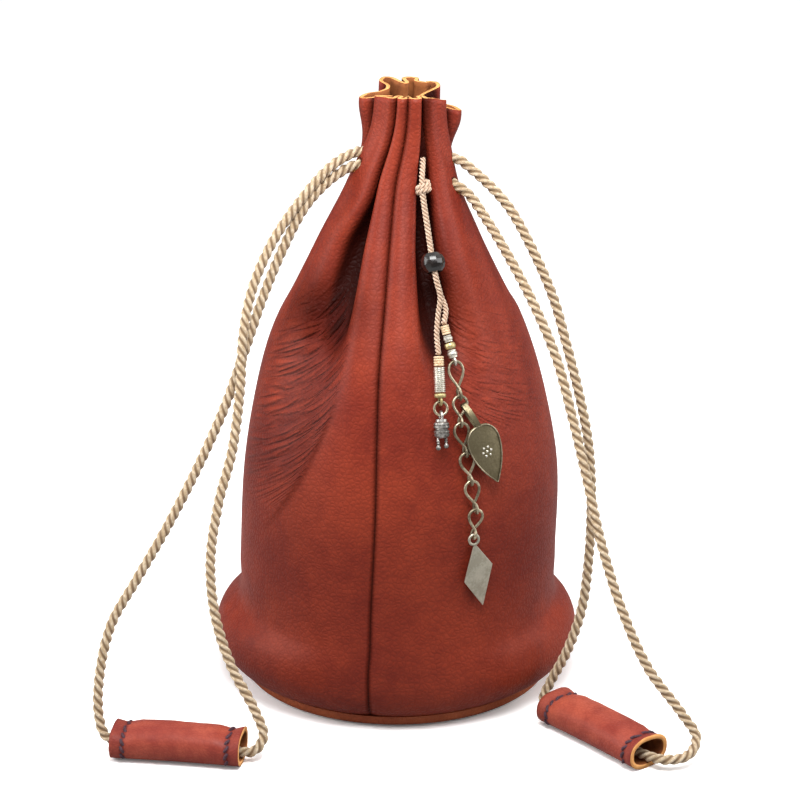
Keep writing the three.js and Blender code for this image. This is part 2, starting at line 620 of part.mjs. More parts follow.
// The leaf plate with its punched rosette, and the strip bail round one side of a link.
function buildLeaf(link) {
  const top = onFront(LEAF.top, LEAF.out);
  const tip = onFront(LEAF.tip, LEAF.out);
  const length = top.distanceTo(tip);
  const outline = new THREE.Shape();
  const { half, shoulder } = LEAF;
  outline.moveTo(0, 0);
  outline.bezierCurveTo(half * 0.7, 0.4, half * 1.05, -shoulder * 0.45, half, -shoulder);
  outline.bezierCurveTo(half * 0.95, -shoulder * 1.9, half * 0.42, -length * 0.84, 0, -length);
  outline.bezierCurveTo(-half * 0.42, -length * 0.84, -half * 0.95, -shoulder * 1.9, -half, -shoulder);
  outline.bezierCurveTo(-half * 1.05, -shoulder * 0.45, -half * 0.7, 0.4, 0, 0);
  const punch = (x, y) => {
    outline.holes.push(new THREE.Path(ovalPoints(x, y, ROSETTE.hole, ROSETTE.hole, ROSETTE.sides)));
  };
  punch(0, -ROSETTE.drop);
  for (let i = 0; i < ROSETTE.ring; i += 1) {
    const angle = 2 * Math.PI * i / ROSETTE.ring;
    punch(ROSETTE.pitch * Math.cos(angle), -ROSETTE.drop + ROSETTE.pitch * Math.sin(angle));
  }
  const plate = new THREE.ExtrudeGeometry(outline, {
    depth: PLATE, bevelEnabled: false, curveSegments: LEAF_CURVE_STEPS,
  }).rotateX(Math.PI / 2).applyMatrix4(hangingFrame(top, tip));
  const wire = onLink(BAIL.at, BAIL.half, link.length).applyMatrix4(link.frame);
  const reach = wire.distanceTo(top) + BAIL.sunk;
  const middle = (BAIL.past - reach) / 2;
  const halfLength = (BAIL.past + reach) / 2;
  const ring = (inset) => (
    ovalPoints(0, middle, BAIL.halfDepth - inset, halfLength - inset, BAIL.sides)
  );
  const loop = new THREE.Shape(ring(0));
  loop.holes.push(new THREE.Path(ring(BAIL.strip)));
  const bail = new THREE.ExtrudeGeometry(loop, { depth: BAIL.width, bevelEnabled: false })
    .translate(0, 0, -BAIL.width / 2);
  const upright = new THREE.Matrix4().makeBasis(
    new THREE.Vector3(0, 1, 0), new THREE.Vector3(0, 0, 1), new THREE.Vector3(1, 0, 0),
  );
  bail.applyMatrix4(upright).applyMatrix4(hangingFrame(wire, top));
  addPiece('leaf_pendant', joined([plate, bail]), 'oldMetal');
}

// The diamond plate, with the loop that it hangs on.
function buildDiamond(joint) {
  const frame = hangingFrame(joint, onFront(DIAMOND.below, CHAIN_OUT));
  const loopZ = JOINT_HALF - DIAMOND.loop;
  const topZ = loopZ - DIAMOND.loop + 2 * SEAT;
  const corners = [
    [0, topZ], [-DIAMOND.half, topZ - DIAMOND.leftAt * DIAMOND.length], [0, topZ - DIAMOND.length],
    [DIAMOND.half, topZ - DIAMOND.rightAt * DIAMOND.length],
  ].map(([x, z]) => new THREE.Vector2(x, z));
  const plate = new THREE.ExtrudeGeometry(new THREE.Shape(corners), { depth: PLATE, bevelEnabled: false })
    .rotateX(Math.PI / 2).translate(0, PLATE / 2, 0);
  const loop = wireRing({ radius: DIAMOND.loop, wire: LINK_WIRE }, true, loopZ);
  addPiece('diamond_pendant', joined([plate, loop]), 'oldMetal', frame);
}

buildBase();
buildBag();
Object.entries(TOGGLE_ENDS).forEach(([name, ends]) => buildToggle(name, ends));
buildCharmCords();
buildDrum(buildBeads(LEFT_END, LEFT_BEADS));
buildChain(buildBeads(RIGHT_END, RIGHT_BEADS));

export default bag;
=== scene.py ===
"""Looks of a leather drawstring bag with rope drawcords, leather toggles and a hanging charm.

The bag stands on its base at the origin, with its front towards -Y. Tables are in millimetres and degrees,
as the solids' own tables are, and meshes are in metres.
"""
import logging
import math
from collections.abc import Callable
from dataclasses import dataclass
from enum import Enum
from functools import cache

import bpy
import numpy as np
from mathutils import Matrix, Vector, noise


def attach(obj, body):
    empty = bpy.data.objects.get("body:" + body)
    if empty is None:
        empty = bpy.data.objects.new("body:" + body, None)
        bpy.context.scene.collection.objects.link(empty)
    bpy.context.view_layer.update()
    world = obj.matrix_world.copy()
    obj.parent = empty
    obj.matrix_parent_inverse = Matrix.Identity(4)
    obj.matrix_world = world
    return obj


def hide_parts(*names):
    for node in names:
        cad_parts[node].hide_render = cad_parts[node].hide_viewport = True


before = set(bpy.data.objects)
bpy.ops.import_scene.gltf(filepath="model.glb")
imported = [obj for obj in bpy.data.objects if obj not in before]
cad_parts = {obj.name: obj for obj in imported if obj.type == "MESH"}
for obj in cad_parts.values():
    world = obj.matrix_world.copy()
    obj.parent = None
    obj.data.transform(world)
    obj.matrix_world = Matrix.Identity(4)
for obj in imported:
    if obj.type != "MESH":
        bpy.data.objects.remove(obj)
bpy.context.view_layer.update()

Piece = bpy.types.Object
Socket = bpy.types.NodeSocket
Sockets = dict[str | int, object]
Colour = tuple[float, float, float, float]
Pair = tuple[float, float]
Point = tuple[float, float, float]
Limits = tuple[float, float, float, float]
Array = np.ndarray
Line = tuple[Pair, Pair]

LOG = logging.getLogger("drawstring_bag")
MM = 0.001
BODY = "root"
GAP = 0.3
UP = np.array([0.0, 0.0, 1.0])
WHITE: Colour = (1.0, 1.0, 1.0, 1.0)
TINT_SPAN: Pair = (0.35, 0.65)


class Side(Enum):
    """The side of the bag that a drawcord hangs on."""

    LEFT = -1
    RIGHT = 1


def lerp(low: float, high: float, share: float) -> float:
    """Returns the value at a share of the way from low to high."""
    return low + (high - low) * share


def smoothstep(value: float, low: float, high: float) -> float:
    """Returns 0 below low, 1 above high and a smooth rise between them."""
    share = np.clip((value - low) / (high - low), 0, 1)
    return share * share * (3 - 2 * share)


def bell(distance: Array) -> Array:
    """Returns 1 at no distance and a smooth fall to 0 beyond a distance of about 2."""
    return np.exp(-(distance**2))


def paint(*shown: int) -> Colour:
    """Returns a shader colour from the red, green and blue that a screen shows, each 0 to 255."""
    linear = [((v / 255 + 0.055) / 1.055) ** 2.4 if v > 10 else v / 255 / 12.92 for v in shown]
    return (*linear, 1.0)


class Graph:
    """A shader node tree while it is being filled."""

    def __init__(self, tree: bpy.types.NodeTree) -> None:
        """Keeps the tree."""
        self.tree = tree

    def plug(self, node: bpy.types.Node, sockets: Sockets) -> None:
        """Links or sets a node's inputs.

        Args:
            node: The node.
            sockets: Output sockets or values for its inputs, by name or place.
        """
        for key, value in sockets.items():
            if isinstance(value, Socket):
                self.tree.links.new(value, node.inputs[key])
            else:
                node.inputs[key].default_value = value

    def add(self, kind: str, sockets: Sockets | None = None, **settings: object) -> bpy.types.Node:
        """Adds a node, sets it and links it.

        Args:
            kind: The node's type without its ShaderNode prefix.
            sockets: Output sockets or values for its inputs, by name or place.
            settings: The node's own properties.

        Returns:
            The new node.
        """
        node = self.tree.nodes.new(f"ShaderNode{kind}")
        for name, value in settings.items():
            setattr(node, name, value)
        self.plug(node, sockets or {})
        return node

    def coords(self) -> Socket:
        """Returns the object's own coordinates."""
        return self.add("TexCoord").outputs["Object"]

    def attribute(self, name: str, output: str = "Fac") -> Socket:
        """Returns an output of one of the mesh's attributes."""
        return self.add("Attribute", attribute_name=name).outputs[output]

    def math(self, operation: str, *values: object) -> Socket:
        """Returns the result of a math operation on values or sockets."""
        return self.add("Math", dict(enumerate(values)), operation=operation).outputs[0]

    def noise(self, vector: object, scale: object, detail: float) -> bpy.types.NodeOutputs:
        """Returns the outputs of a noise texture of a scale and a detail over coordinates."""
        return self.add("TexNoise", {"Vector": vector, "Scale": scale, "Detail": detail}).outputs

    def swayed(self, vector: object, scale: float, reach: float) -> Socket:
        """Moves coordinates aside by noise.

        Args:
            vector: The coordinates.
            scale: The noise's scale.
            reach: How far it moves them at most, both ways together.

        Returns:
            The moved coordinates.
        """
        sway = self.noise(vector, scale, 2.0)["Color"]
        centred = self.add("VectorMath", {0: sway, 1: (0.5, 0.5, 0.5)}, operation="SUBTRACT").outputs[0]
        scaled = self.add("VectorMath", {0: centred, "Scale": reach}, operation="SCALE").outputs[0]
        return self.add("VectorMath", {0: vector, 1: scaled}, operation="ADD").outputs[0]

    def cells(self, vector: object, scale: object) -> Socket:
        """Returns the distance to the edge between cells of a scale over coordinates."""
        sockets = {"Vector": vector, "Scale": scale}
        return self.add("TexVoronoi", sockets, feature="DISTANCE_TO_EDGE").outputs["Distance"]

    def spread(self, value: object, low: float, high: float, start: float = 0.0, end: float = 1.0) -> Socket:
        """Returns a value mapped smoothly, from low and high to start and end."""
        sockets = {"Value": value, "From Min": low, "From Max": high, "To Min": start, "To Max": end}
        return self.add("MapRange", sockets, interpolation_type="SMOOTHSTEP").outputs[0]

    def mix(self, factor: object, first: object, second: object) -> Socket:
        """Returns the first colour with a share of the second in it."""
        return self.add("Mix", {0: factor, 6: first, 7: second}, data_type="RGBA").outputs[2]

    def bump(self, height: object, strength: float, depth: float, under: Socket | None = None) -> Socket:
        """Adds a bump.

        Args:
            height: The height's socket.
            strength: How strongly it shows.
            depth: The depth of a full height, in metres.
            under: The normal that it lies on, if not the surface's own.

        Returns:
            The new normal's socket.
        """
        sockets = {"Height": height, "Strength": strength, "Distance": depth}
        if under is not None:
            sockets["Normal"] = under
        return self.add("Bump", sockets).outputs[0]

    @classmethod
    def group(
        cls, name: str, inputs: dict[str, float | None], outputs: tuple[str, ...]
    ) -> tuple["Graph", bpy.types.NodeOutputs, bpy.types.Node]:
        """Starts a node group.

        Args:
            name: The group's name.
            inputs: The inputs' default values by name, or nothing where an input is a vector.
            outputs: The names of its values.

        Returns:
            The group's graph, its inputs and its output node.
        """
        tree = bpy.data.node_groups.new(name, "ShaderNodeTree")
        for key, value in inputs.items():
            kind = "NodeSocketVector" if value is None else "NodeSocketFloat"
            socket = tree.interface.new_socket(key, in_out="INPUT", socket_type=kind)
            if value is not None:
                socket.default_value = value
        for key in outputs:
            tree.interface.new_socket(key, in_out="OUTPUT", socket_type="NodeSocketFloat")
        return cls(tree), tree.nodes.new("NodeGroupInput").outputs, tree.nodes.new("NodeGroupOutput")


class Effects:
    """Node groups that more than one finish uses."""

    @staticmethod
    @cache
    def grain() -> bpy.types.NodeTree:
        """Returns the pebbled leather grain, as a height and a mask of the creases between pebbles."""
        inputs = {"Vector": None, "Cells": 400.0}
        graph, source, sink = Graph.group("leather_grain", inputs, ("Height", "Crease"))
        sway_scale, sway_reach, pores_per_cell, pore_depth = 260.0, 0.0012, 2.7, 0.3
        place = graph.swayed(source["Vector"], sway_scale, sway_reach)
        edge = graph.cells(place, source["Cells"])
        pores = graph.noise(place, graph.math("MULTIPLY", source["Cells"], pores_per_cell), 3.0)["Fac"]
        height = graph.math("MULTIPLY_ADD", pores, pore_depth, graph.spread(edge, 0.0, 0.3))
        graph.plug(sink, {"Height": height, "Crease": graph.spread(edge, 0.0, 0.13, 1.0, 0.0)})
        return graph.tree

    @staticmethod
    @cache
    def wrinkles() -> bpy.types.NodeTree:
        """Returns short rounded wrinkles that follow a flow over the leather, as a height."""
        graph, source, sink = Graph.group("short_wrinkles", {"Vector": None}, ("Height",))
        sway_scale, soft_scale, soft_depth = 0.7, 1.4, 0.3
        place = graph.swayed(source["Vector"], sway_scale, 1.0)
        slope = graph.spread(graph.cells(place, 1.0), 0.0, 0.5, 1.0, 0.0)
        rolls = graph.math("SUBTRACT", 1.0, graph.math("MULTIPLY", slope, slope))
        soft = graph.noise(place, soft_scale, 1.0)["Fac"]
        graph.plug(sink, {"Height": graph.math("MULTIPLY_ADD", soft, soft_depth, rolls)})
        return graph.tree

    @staticmethod
    @cache
    def mottle() -> bpy.types.NodeTree:
        """Returns two sizes of soft cloudy variation as one mask."""
        graph, source, sink = Graph.group("cloudy_mottle", {"Vector": None, "Scale": 20.0}, ("Mask",))
        finer, finer_share = 7.0, 0.45
        broad = graph.noise(source["Vector"], source["Scale"], 4.0)["Fac"]
        small = graph.noise(source["Vector"], graph.math("MULTIPLY", source["Scale"], finer), 3.0)["Fac"]
        total = graph.math("MULTIPLY_ADD", small, finer_share, broad)
        graph.plug(sink, {"Mask": graph.spread(total, 0.5, 0.98)})
        return graph.tree

    @staticmethod
    @cache
    def fibres() -> bpy.types.NodeTree:
        """Returns the fine yarns that run slantwise over a laid strand, as a height."""
        inputs = {"UV": None, "Yarns": 18.0, "Slant": 4.0}
        graph, source, sink = Graph.group("laid_yarns", inputs, ("Height",))
        fuzz_scale, yarn_depth = 22.0, 0.35
        parts = graph.add("SeparateXYZ", {0: source["UV"]}).outputs
        across = graph.math("MULTIPLY", parts["X"], source["Yarns"])
        turns = graph.math("ADD", across, graph.math("MULTIPLY", parts["Y"], source["Slant"]))
        wave = graph.math("SINE", graph.math("MULTIPLY", turns, 2 * math.pi))
        fuzz = graph.noise(source["UV"], fuzz_scale, 4.0)["Fac"]
        graph.plug(sink, {"Height": graph.math("MULTIPLY_ADD", wave, yarn_depth, fuzz)})
        return graph.tree


def start_material(name: str) -> tuple[bpy.types.Material, Graph, bpy.types.Node]:
    """Starts a material.

    Args:
        name: The material's name.

    Returns:
        The material, its graph and its shader.
    """
    material = bpy.data.materials.new(name)
    material.use_nodes = True
    graph = Graph(material.node_tree)
    return material, graph, material.node_tree.nodes["Principled BSDF"]


def cloudy(graph: Graph, coords: Socket, scale: float) -> Socket:
    """Returns the mask of cloudy variation of a scale over coordinates."""
    return graph.add("Group", {"Vector": coords, "Scale": scale}, node_tree=Effects.mottle()).outputs["Mask"]


@dataclass(frozen=True)
class LeatherFinish:
    """Grain side of leather: pebbled and mottled, with painted shade in its folds and wrinkles."""

    name: str
    light: Colour
    dark: Colour
    crease: Colour
    # Colour that the fold attribute lays on: painted shade in folds and grooves, and the toggles' darker
    # ends.
    fold: Colour
    cells: float = 540.0
    depth: float = 0.0009
    rough: float = 0.52
    sheen: float = 0.24
    clouds: float = 22.0
    # Shares of the crease colour between pebbles and, as painted shade, in the wrinkles' creases, and the
    # added roughness between pebbles.
    pebble_tint: float = 0.2
    wrinkle_shade: float = 0.5
    rougher: float = 0.2

    def make(self) -> bpy.types.Material:
        """Returns the material."""
        material, graph, shader = start_material(self.name)
        coords = graph.coords()
        grain = graph.add("Group", {"Vector": coords, "Cells": self.cells}, node_tree=Effects.grain()).outputs
        fold, crinkle, flow = (
            graph.attribute(*key) for key in (("fold",), ("crinkle",), ("flow", "Vector"))
        )
        wrinkles = graph.add("Group", {"Vector": flow}, node_tree=Effects.wrinkles()).outputs["Height"]
        low = graph.math("MULTIPLY", graph.spread(wrinkles, 0.8, 0.15), crinkle)
        colour = graph.mix(cloudy(graph, coords, self.clouds), self.dark, self.light)
        colour = graph.mix(graph.math("MULTIPLY", grain["Crease"], self.pebble_tint), colour, self.crease)
        # Painted shade: the fold colour wherever the fold attribute says.
        colour = graph.mix(fold, colour, self.fold)
        # Painted shade: the crease colour down in the wrinkles' creases.
        colour = graph.mix(graph.math("MULTIPLY", low, self.wrinkle_shade), colour, self.crease)
        wrinkled = graph.bump(graph.math("MULTIPLY", wrinkles, crinkle), 0.9, 0.0013)
        graph.plug(shader, {
            "Base Color": colour,
            "Roughness": graph.spread(grain["Crease"], 0.0, 1.0, self.rough, self.rough + self.rougher),
            "Specular IOR Level": 0.05,
            "Coat Weight": graph.spread(fold, 0.0, 0.7, self.sheen, 0.0),
            "Coat Roughness": 0.42,
            "Normal": graph.bump(grain["Height"], 0.24, self.depth, wrinkled),
        })
        return material


@dataclass(frozen=True)
class RawLeatherFinish:
    """Cut edge or flesh side of leather: fibrous and matt."""

    name: str
    light: Colour
    dark: Colour
    clouds: float = 60.0
    fuzz: float = 2600.0

    def make(self) -> bpy.types.Material:
        """Returns the material."""
        material, graph, shader = start_material(self.name)
        coords = graph.coords()
        graph.plug(shader, {
            "Base Color": graph.mix(cloudy(graph, coords, self.clouds), self.dark, self.light),
            "Roughness": 0.9,
            "Specular IOR Level": 0.2,
            "Normal": graph.bump(graph.noise(coords, self.fuzz, 3.0)["Fac"], 0.6, 0.0004),
        })
        return material


@dataclass(frozen=True)
class CordFinish:
    """Laid cord: pale strands with yarn lines, and painted shade in the grooves between strands."""

    name: str
    light: Colour
    dark: Colour
    groove: Colour
    yarns: float = 18.0
    slant: float = 4.0
    depth: float = 0.0005
    tint: float = 700.0

    def make(self) -> bpy.types.Material:
        """Returns the material."""
        material, graph, shader = start_material(self.name)
        uv = graph.add("UVMap", uv_map="lay").outputs["UV"]
        sockets = {"UV": uv, "Yarns": self.yarns, "Slant": self.slant}
        yarns = graph.add("Group", sockets, node_tree=Effects.fibres()).outputs["Height"]
        tint = graph.noise(graph.coords(), self.tint, 3.0)["Fac"]
        colour = graph.mix(graph.spread(tint, *TINT_SPAN), self.dark, self.light)
        colour = graph.mix(graph.spread(yarns, 0.2, 0.75, 0.5, 0.0), colour, self.groove)
        graph.plug(shader, {
            # Painted shade: the groove colour deepens into the grooves between strands.
            "Base Color": graph.mix(graph.attribute("groove"), colour, self.groove),
            "Roughness": 0.82,
            "Specular IOR Level": 0.25,
            "Sheen Weight": 0.15,
            "Normal": graph.bump(yarns, 0.5, self.depth),
        })
        return material


@dataclass(frozen=True)
class MetalFinish:
    """Old worn metal with a darker patina."""

    name: str
    bright: Colour
    patina: Colour
    rough: float = 0.34
    amount: float = 0.5
    clouds: float = 170.0
    scratches: float = 900.0
    rougher: float = 0.18

    def make(self) -> bpy.types.Material:
        """Returns the material."""
        material, graph, shader = start_material(self.name)
        coords = graph.coords()
        mask = cloudy(graph, coords, self.clouds)
        tarnish = graph.spread(mask, 0.0, 1.0, self.amount, 0.0)
        graph.plug(shader, {
            "Base Color": graph.mix(tarnish, self.bright, self.patina),
            "Metallic": 1.0,
            "Roughness": graph.spread(mask, 0.0, 1.0, self.rough + self.rougher, self.rough),
            "Normal": graph.bump(graph.noise(coords, self.scratches, 4.0)["Fac"], 0.35, 0.0002),
        })
        return material


@dataclass(frozen=True)
class BeadFinish:
    """Dark polished bead."""

    name: str
    body: Colour
    cloud: Colour
    clouds: float = 240.0

    def make(self) -> bpy.types.Material:
        """Returns the material."""
        material, graph, shader = start_material(self.name)
        colour = graph.mix(cloudy(graph, graph.coords(), self.clouds), self.body, self.cloud)
        graph.plug(shader, {"Base Color": colour, "Roughness": 0.16, "Coat Weight": 0.4})
        return material


@dataclass(frozen=True)
class ThreadFinish:
    """Waxed sewing thread."""

    name: str
    light: Colour
    dark: Colour
    tint: float = 1500.0

    def make(self) -> bpy.types.Material:
        """Returns the material."""
        material, graph, shader = start_material(self.name)
        tint = graph.noise(graph.coords(), self.tint, 3.0)["Fac"]
        graph.plug(shader, {
            "Base Color": graph.mix(graph.spread(tint, *TINT_SPAN), self.dark, self.light),
            "Roughness": 0.7,
            "Normal": graph.bump(tint, 0.5, 0.0003),
        })
        return material


class Finish(Enum):
    """The bag's finishes."""

    # Each leather's last colour is the painted shade of its folds, which on the toggles also darkens their
    # ends.
    WALL = LeatherFinish(
        "bag_leather", paint(143, 54, 34), paint(115, 38, 26), paint(84, 25, 18), paint(40, 9, 5), rough=0.46
    )
    BASE = LeatherFinish(
        "base_leather", paint(172, 92, 56), paint(140, 66, 38), paint(104, 46, 28), paint(70, 30, 18)
    )
    TOGGLE = LeatherFinish(
        "toggle_leather", paint(174, 84, 64), paint(128, 50, 42), paint(104, 40, 36), paint(70, 28, 36),
        cells=620.0, depth=0.0004, rough=0.42,
    )
    EDGE = RawLeatherFinish("raw_edge", paint(232, 172, 108), paint(205, 138, 78))
    FLESH = RawLeatherFinish("flesh_side", paint(150, 90, 50), paint(104, 56, 30))
    ROPE = CordFinish(
        "drawcord_rope", paint(238, 219, 190), paint(204, 178, 143), paint(134, 108, 80), depth=0.0008
    )
    CHARM_CORD = CordFinish(
        "charm_cord", paint(232, 206, 182), paint(208, 178, 152), paint(140, 108, 86),
        yarns=12.0, depth=0.0003,
    )
    THREAD = ThreadFinish("whipping_thread", paint(226, 202, 168), paint(186, 156, 120))
    STITCH = ThreadFinish("stitch_thread", paint(78, 40, 54), paint(48, 24, 34))
    BEAD = BeadFinish("dark_bead", paint(14, 11, 10), paint(34, 26, 23))
    SILVER = MetalFinish("engraved_silver", paint(232, 228, 218), paint(140, 132, 118))
    DARK_SILVER = MetalFinish("dark_silver", paint(196, 192, 186), paint(60, 56, 52), amount=0.8)
    BRASS = MetalFinish("dull_brass", paint(206, 190, 142), paint(124, 108, 68), rough=0.42)
    WIRE = MetalFinish("worn_wire", paint(196, 184, 158), paint(84, 74, 56), amount=0.75)
    PLATE = MetalFinish("pendant_plate", paint(132, 122, 96), paint(80, 72, 54), rough=0.4)
    PALE_PLATE = MetalFinish("pale_plate", paint(190, 184, 168), paint(136, 130, 114), rough=0.4)


@cache
def material_of(finish: Finish) -> bpy.types.Material:
    """Returns a finish's material, which is made once."""
    return finish.value.make()


def give_finishes(piece: Piece, *finishes: Finish) -> Piece:
    """Adds finishes to a piece's materials and returns the piece."""
    for finish in finishes:
        piece.data.materials.append(material_of(finish))
    return piece


def dress(piece: Piece, finishes: list[Finish], nodes: list[str]) -> Piece:
    """Gives a finished piece its materials and its body, and hides the CAD nodes that it stands for.

    Args:
        piece: The finished object.
        finishes: The finishes by material index, for a piece that has none yet.
        nodes: The CAD nodes that the piece stands for.

    Returns:
        The piece.
    """
    if not piece.data.materials:
        give_finishes(piece, *finishes)
    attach(piece, BODY)
    if nodes:
        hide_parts(*nodes)
    LOG.info("%s: %d faces", piece.name, len(piece.data.polygons))
    return piece


def mesh_object(
    name: str, points: Array, faces: list[list[int]], kinds: Array | None = None
) -> Piece:
    """Makes an object from points in millimetres and faces.

    Args:
        name: The object's name.
        points: The points, one a row.
        faces: The corners' indices of each face.
        kinds: The material index of each face.

    Returns:
        The object, smooth shaded.
    """
    mesh = bpy.data.meshes.new(name)
    mesh.from_pydata((points * MM).tolist(), [], faces)
    if kinds is not None:
        mesh.polygons.foreach_set("material_index", kinds.astype(np.int32))
    mesh.polygons.foreach_set("use_smooth", np.ones(len(mesh.polygons), dtype=bool))
    mesh.update()
    piece = bpy.data.objects.new(name, mesh)
    bpy.context.scene.collection.objects.link(piece)
    return piece


def set_points(piece: Piece, name: str, values: Array) -> None:
    """Stores a value or a vector for each point of a mesh.

    Args:
        piece: The object.
        name: The attribute's name.
        values: One value, or one row, for each point.
    """
    kind, key = ("FLOAT", "value") if values.ndim == 1 else ("FLOAT_VECTOR", "vector")
    attribute = piece.data.attributes.new(name, kind, "POINT")
    attribute.data.foreach_set(key, values.astype(np.float32).reshape(-1))


def ring_faces(count: int, around: int) -> Array:
    """Joins rings of points with faces of four corners.

    Args:
        count: The number of rings.
        around: The points of each ring.

    Returns:
        The corners' indices, one face a row, ring by ring.
    """
    j, k = np.divmod(np.arange((count - 1) * around), around)
    nxt = (k + 1) % around
    low, high = j * around, (j + 1) * around
    return np.stack([low + k, low + nxt, high + nxt, high + k], axis=-1)


def thick_wall(
    rows: Array, thickness: float, axis: Array
) -> tuple[Array, list[list[int]], Array]:
    """Gives rows of points that go round an axis an even thickness.

    Args:
        rows: The middle of the wall, as rows of points.
        thickness: The wall's thickness.
        axis: The direction that the wall's two rims face.

    Returns:
        The points, the faces and each face's kind: 0 outside, 1 inside, 2 rim.
    """
    count, around = rows.shape[:2]
    turn = np.roll(rows, -1, axis=1) - np.roll(rows, 1, axis=1)
    above = rows[np.minimum(np.arange(count) + 1, count - 1)]
    below = rows[np.maximum(np.arange(count) - 1, 0)]
    normals = np.cross(turn, above - below)
    for j in (0, count - 1):
        normals[j] -= np.outer(normals[j] @ axis, axis)
    normals /= np.linalg.norm(normals, axis=2, keepdims=True)
    points = np.concatenate([(rows + s * thickness / 2 * normals).reshape(-1, 3) for s in (1, -1)])
    outside = ring_faces(count, around)
    shift = count * around
    inside = outside[:, ::-1] + shift
    k = np.arange(around)
    nxt = (k + 1) % around
    top = (count - 1) * around
    rims = np.concatenate([
        np.stack([top + k, top + nxt, shift + top + nxt, shift + top + k], axis=-1),
        np.stack([nxt, k, shift + k, shift + nxt], axis=-1),
    ])
    kinds = np.repeat([0, 1, 2], [len(outside), len(inside), len(rims)])
    return points, np.concatenate([outside, inside, rims]).tolist(), kinds


def smooth_line(points: Array, step: float, closed: bool = False) -> Array:
    """Draws a smooth line through points, with even steps.

    Args:
        points: The points that the line passes.
        step: The distance between the line's own points.
        closed: Whether the line comes back to its start.

    Returns:
        The line's points.
    """
    least, per_span = 1e-3, 24
    if closed:
        ring = np.concatenate([points[-1:], points, points[:2]])
    else:
        ring = np.concatenate([[2 * points[0] - points[1]], points, [2 * points[-1] - points[-2]]])
    t = np.linspace(0, 1, per_span, endpoint=False)[:, None]
    drawn = []
    for p0, p1, p2, p3 in zip(ring[:-3], ring[1:-2], ring[2:-1], ring[3:]):
        spans = ((p0, p1), (p1, p2), (p2, p3))
        d0, d1, d2 = (max(np.sqrt(np.linalg.norm(b - a)), least) for a, b in spans)
        out = ((p1 - p0) / d0 - (p2 - p0) / (d0 + d1) + (p2 - p1) / d1) * d1
        into = ((p2 - p1) / d1 - (p3 - p1) / (d1 + d2) + (p3 - p2) / d2) * d1
        square, cube = 3 * (p2 - p1) - 2 * out - into, 2 * (p1 - p2) + out + into
        drawn.append(p1 + out * t + square * t**2 + cube * t**3)
    line = np.concatenate([*drawn, points[:1] if closed else points[-1:]])
    lengths = np.concatenate([[0], np.cumsum(np.linalg.norm(np.diff(line, axis=0), axis=1))])
    places = np.linspace(0, lengths[-1], max(int(round(lengths[-1] / step)), 2) + 1)
    even = np.column_stack([np.interp(places, lengths, line[:, i]) for i in range(3)])
    return even[:-1] if closed else even


@dataclass(frozen=True)
class Valley:
    """A valley of the neck: its angles at shoulder, cords and lip, and its depth or its floors."""

    at: Point
    rise: float
    start: float = 0.0
    floor: float = 0.0
    lip: float = 0.0
    depth: Pair | None = None
    seam: bool = False


@dataclass(frozen=True)
class Ridge:
    """The ridge after a valley: its angles, and how far the lip stands up and out there."""

    at: Point
    rise: float
    flare: float = 0.0


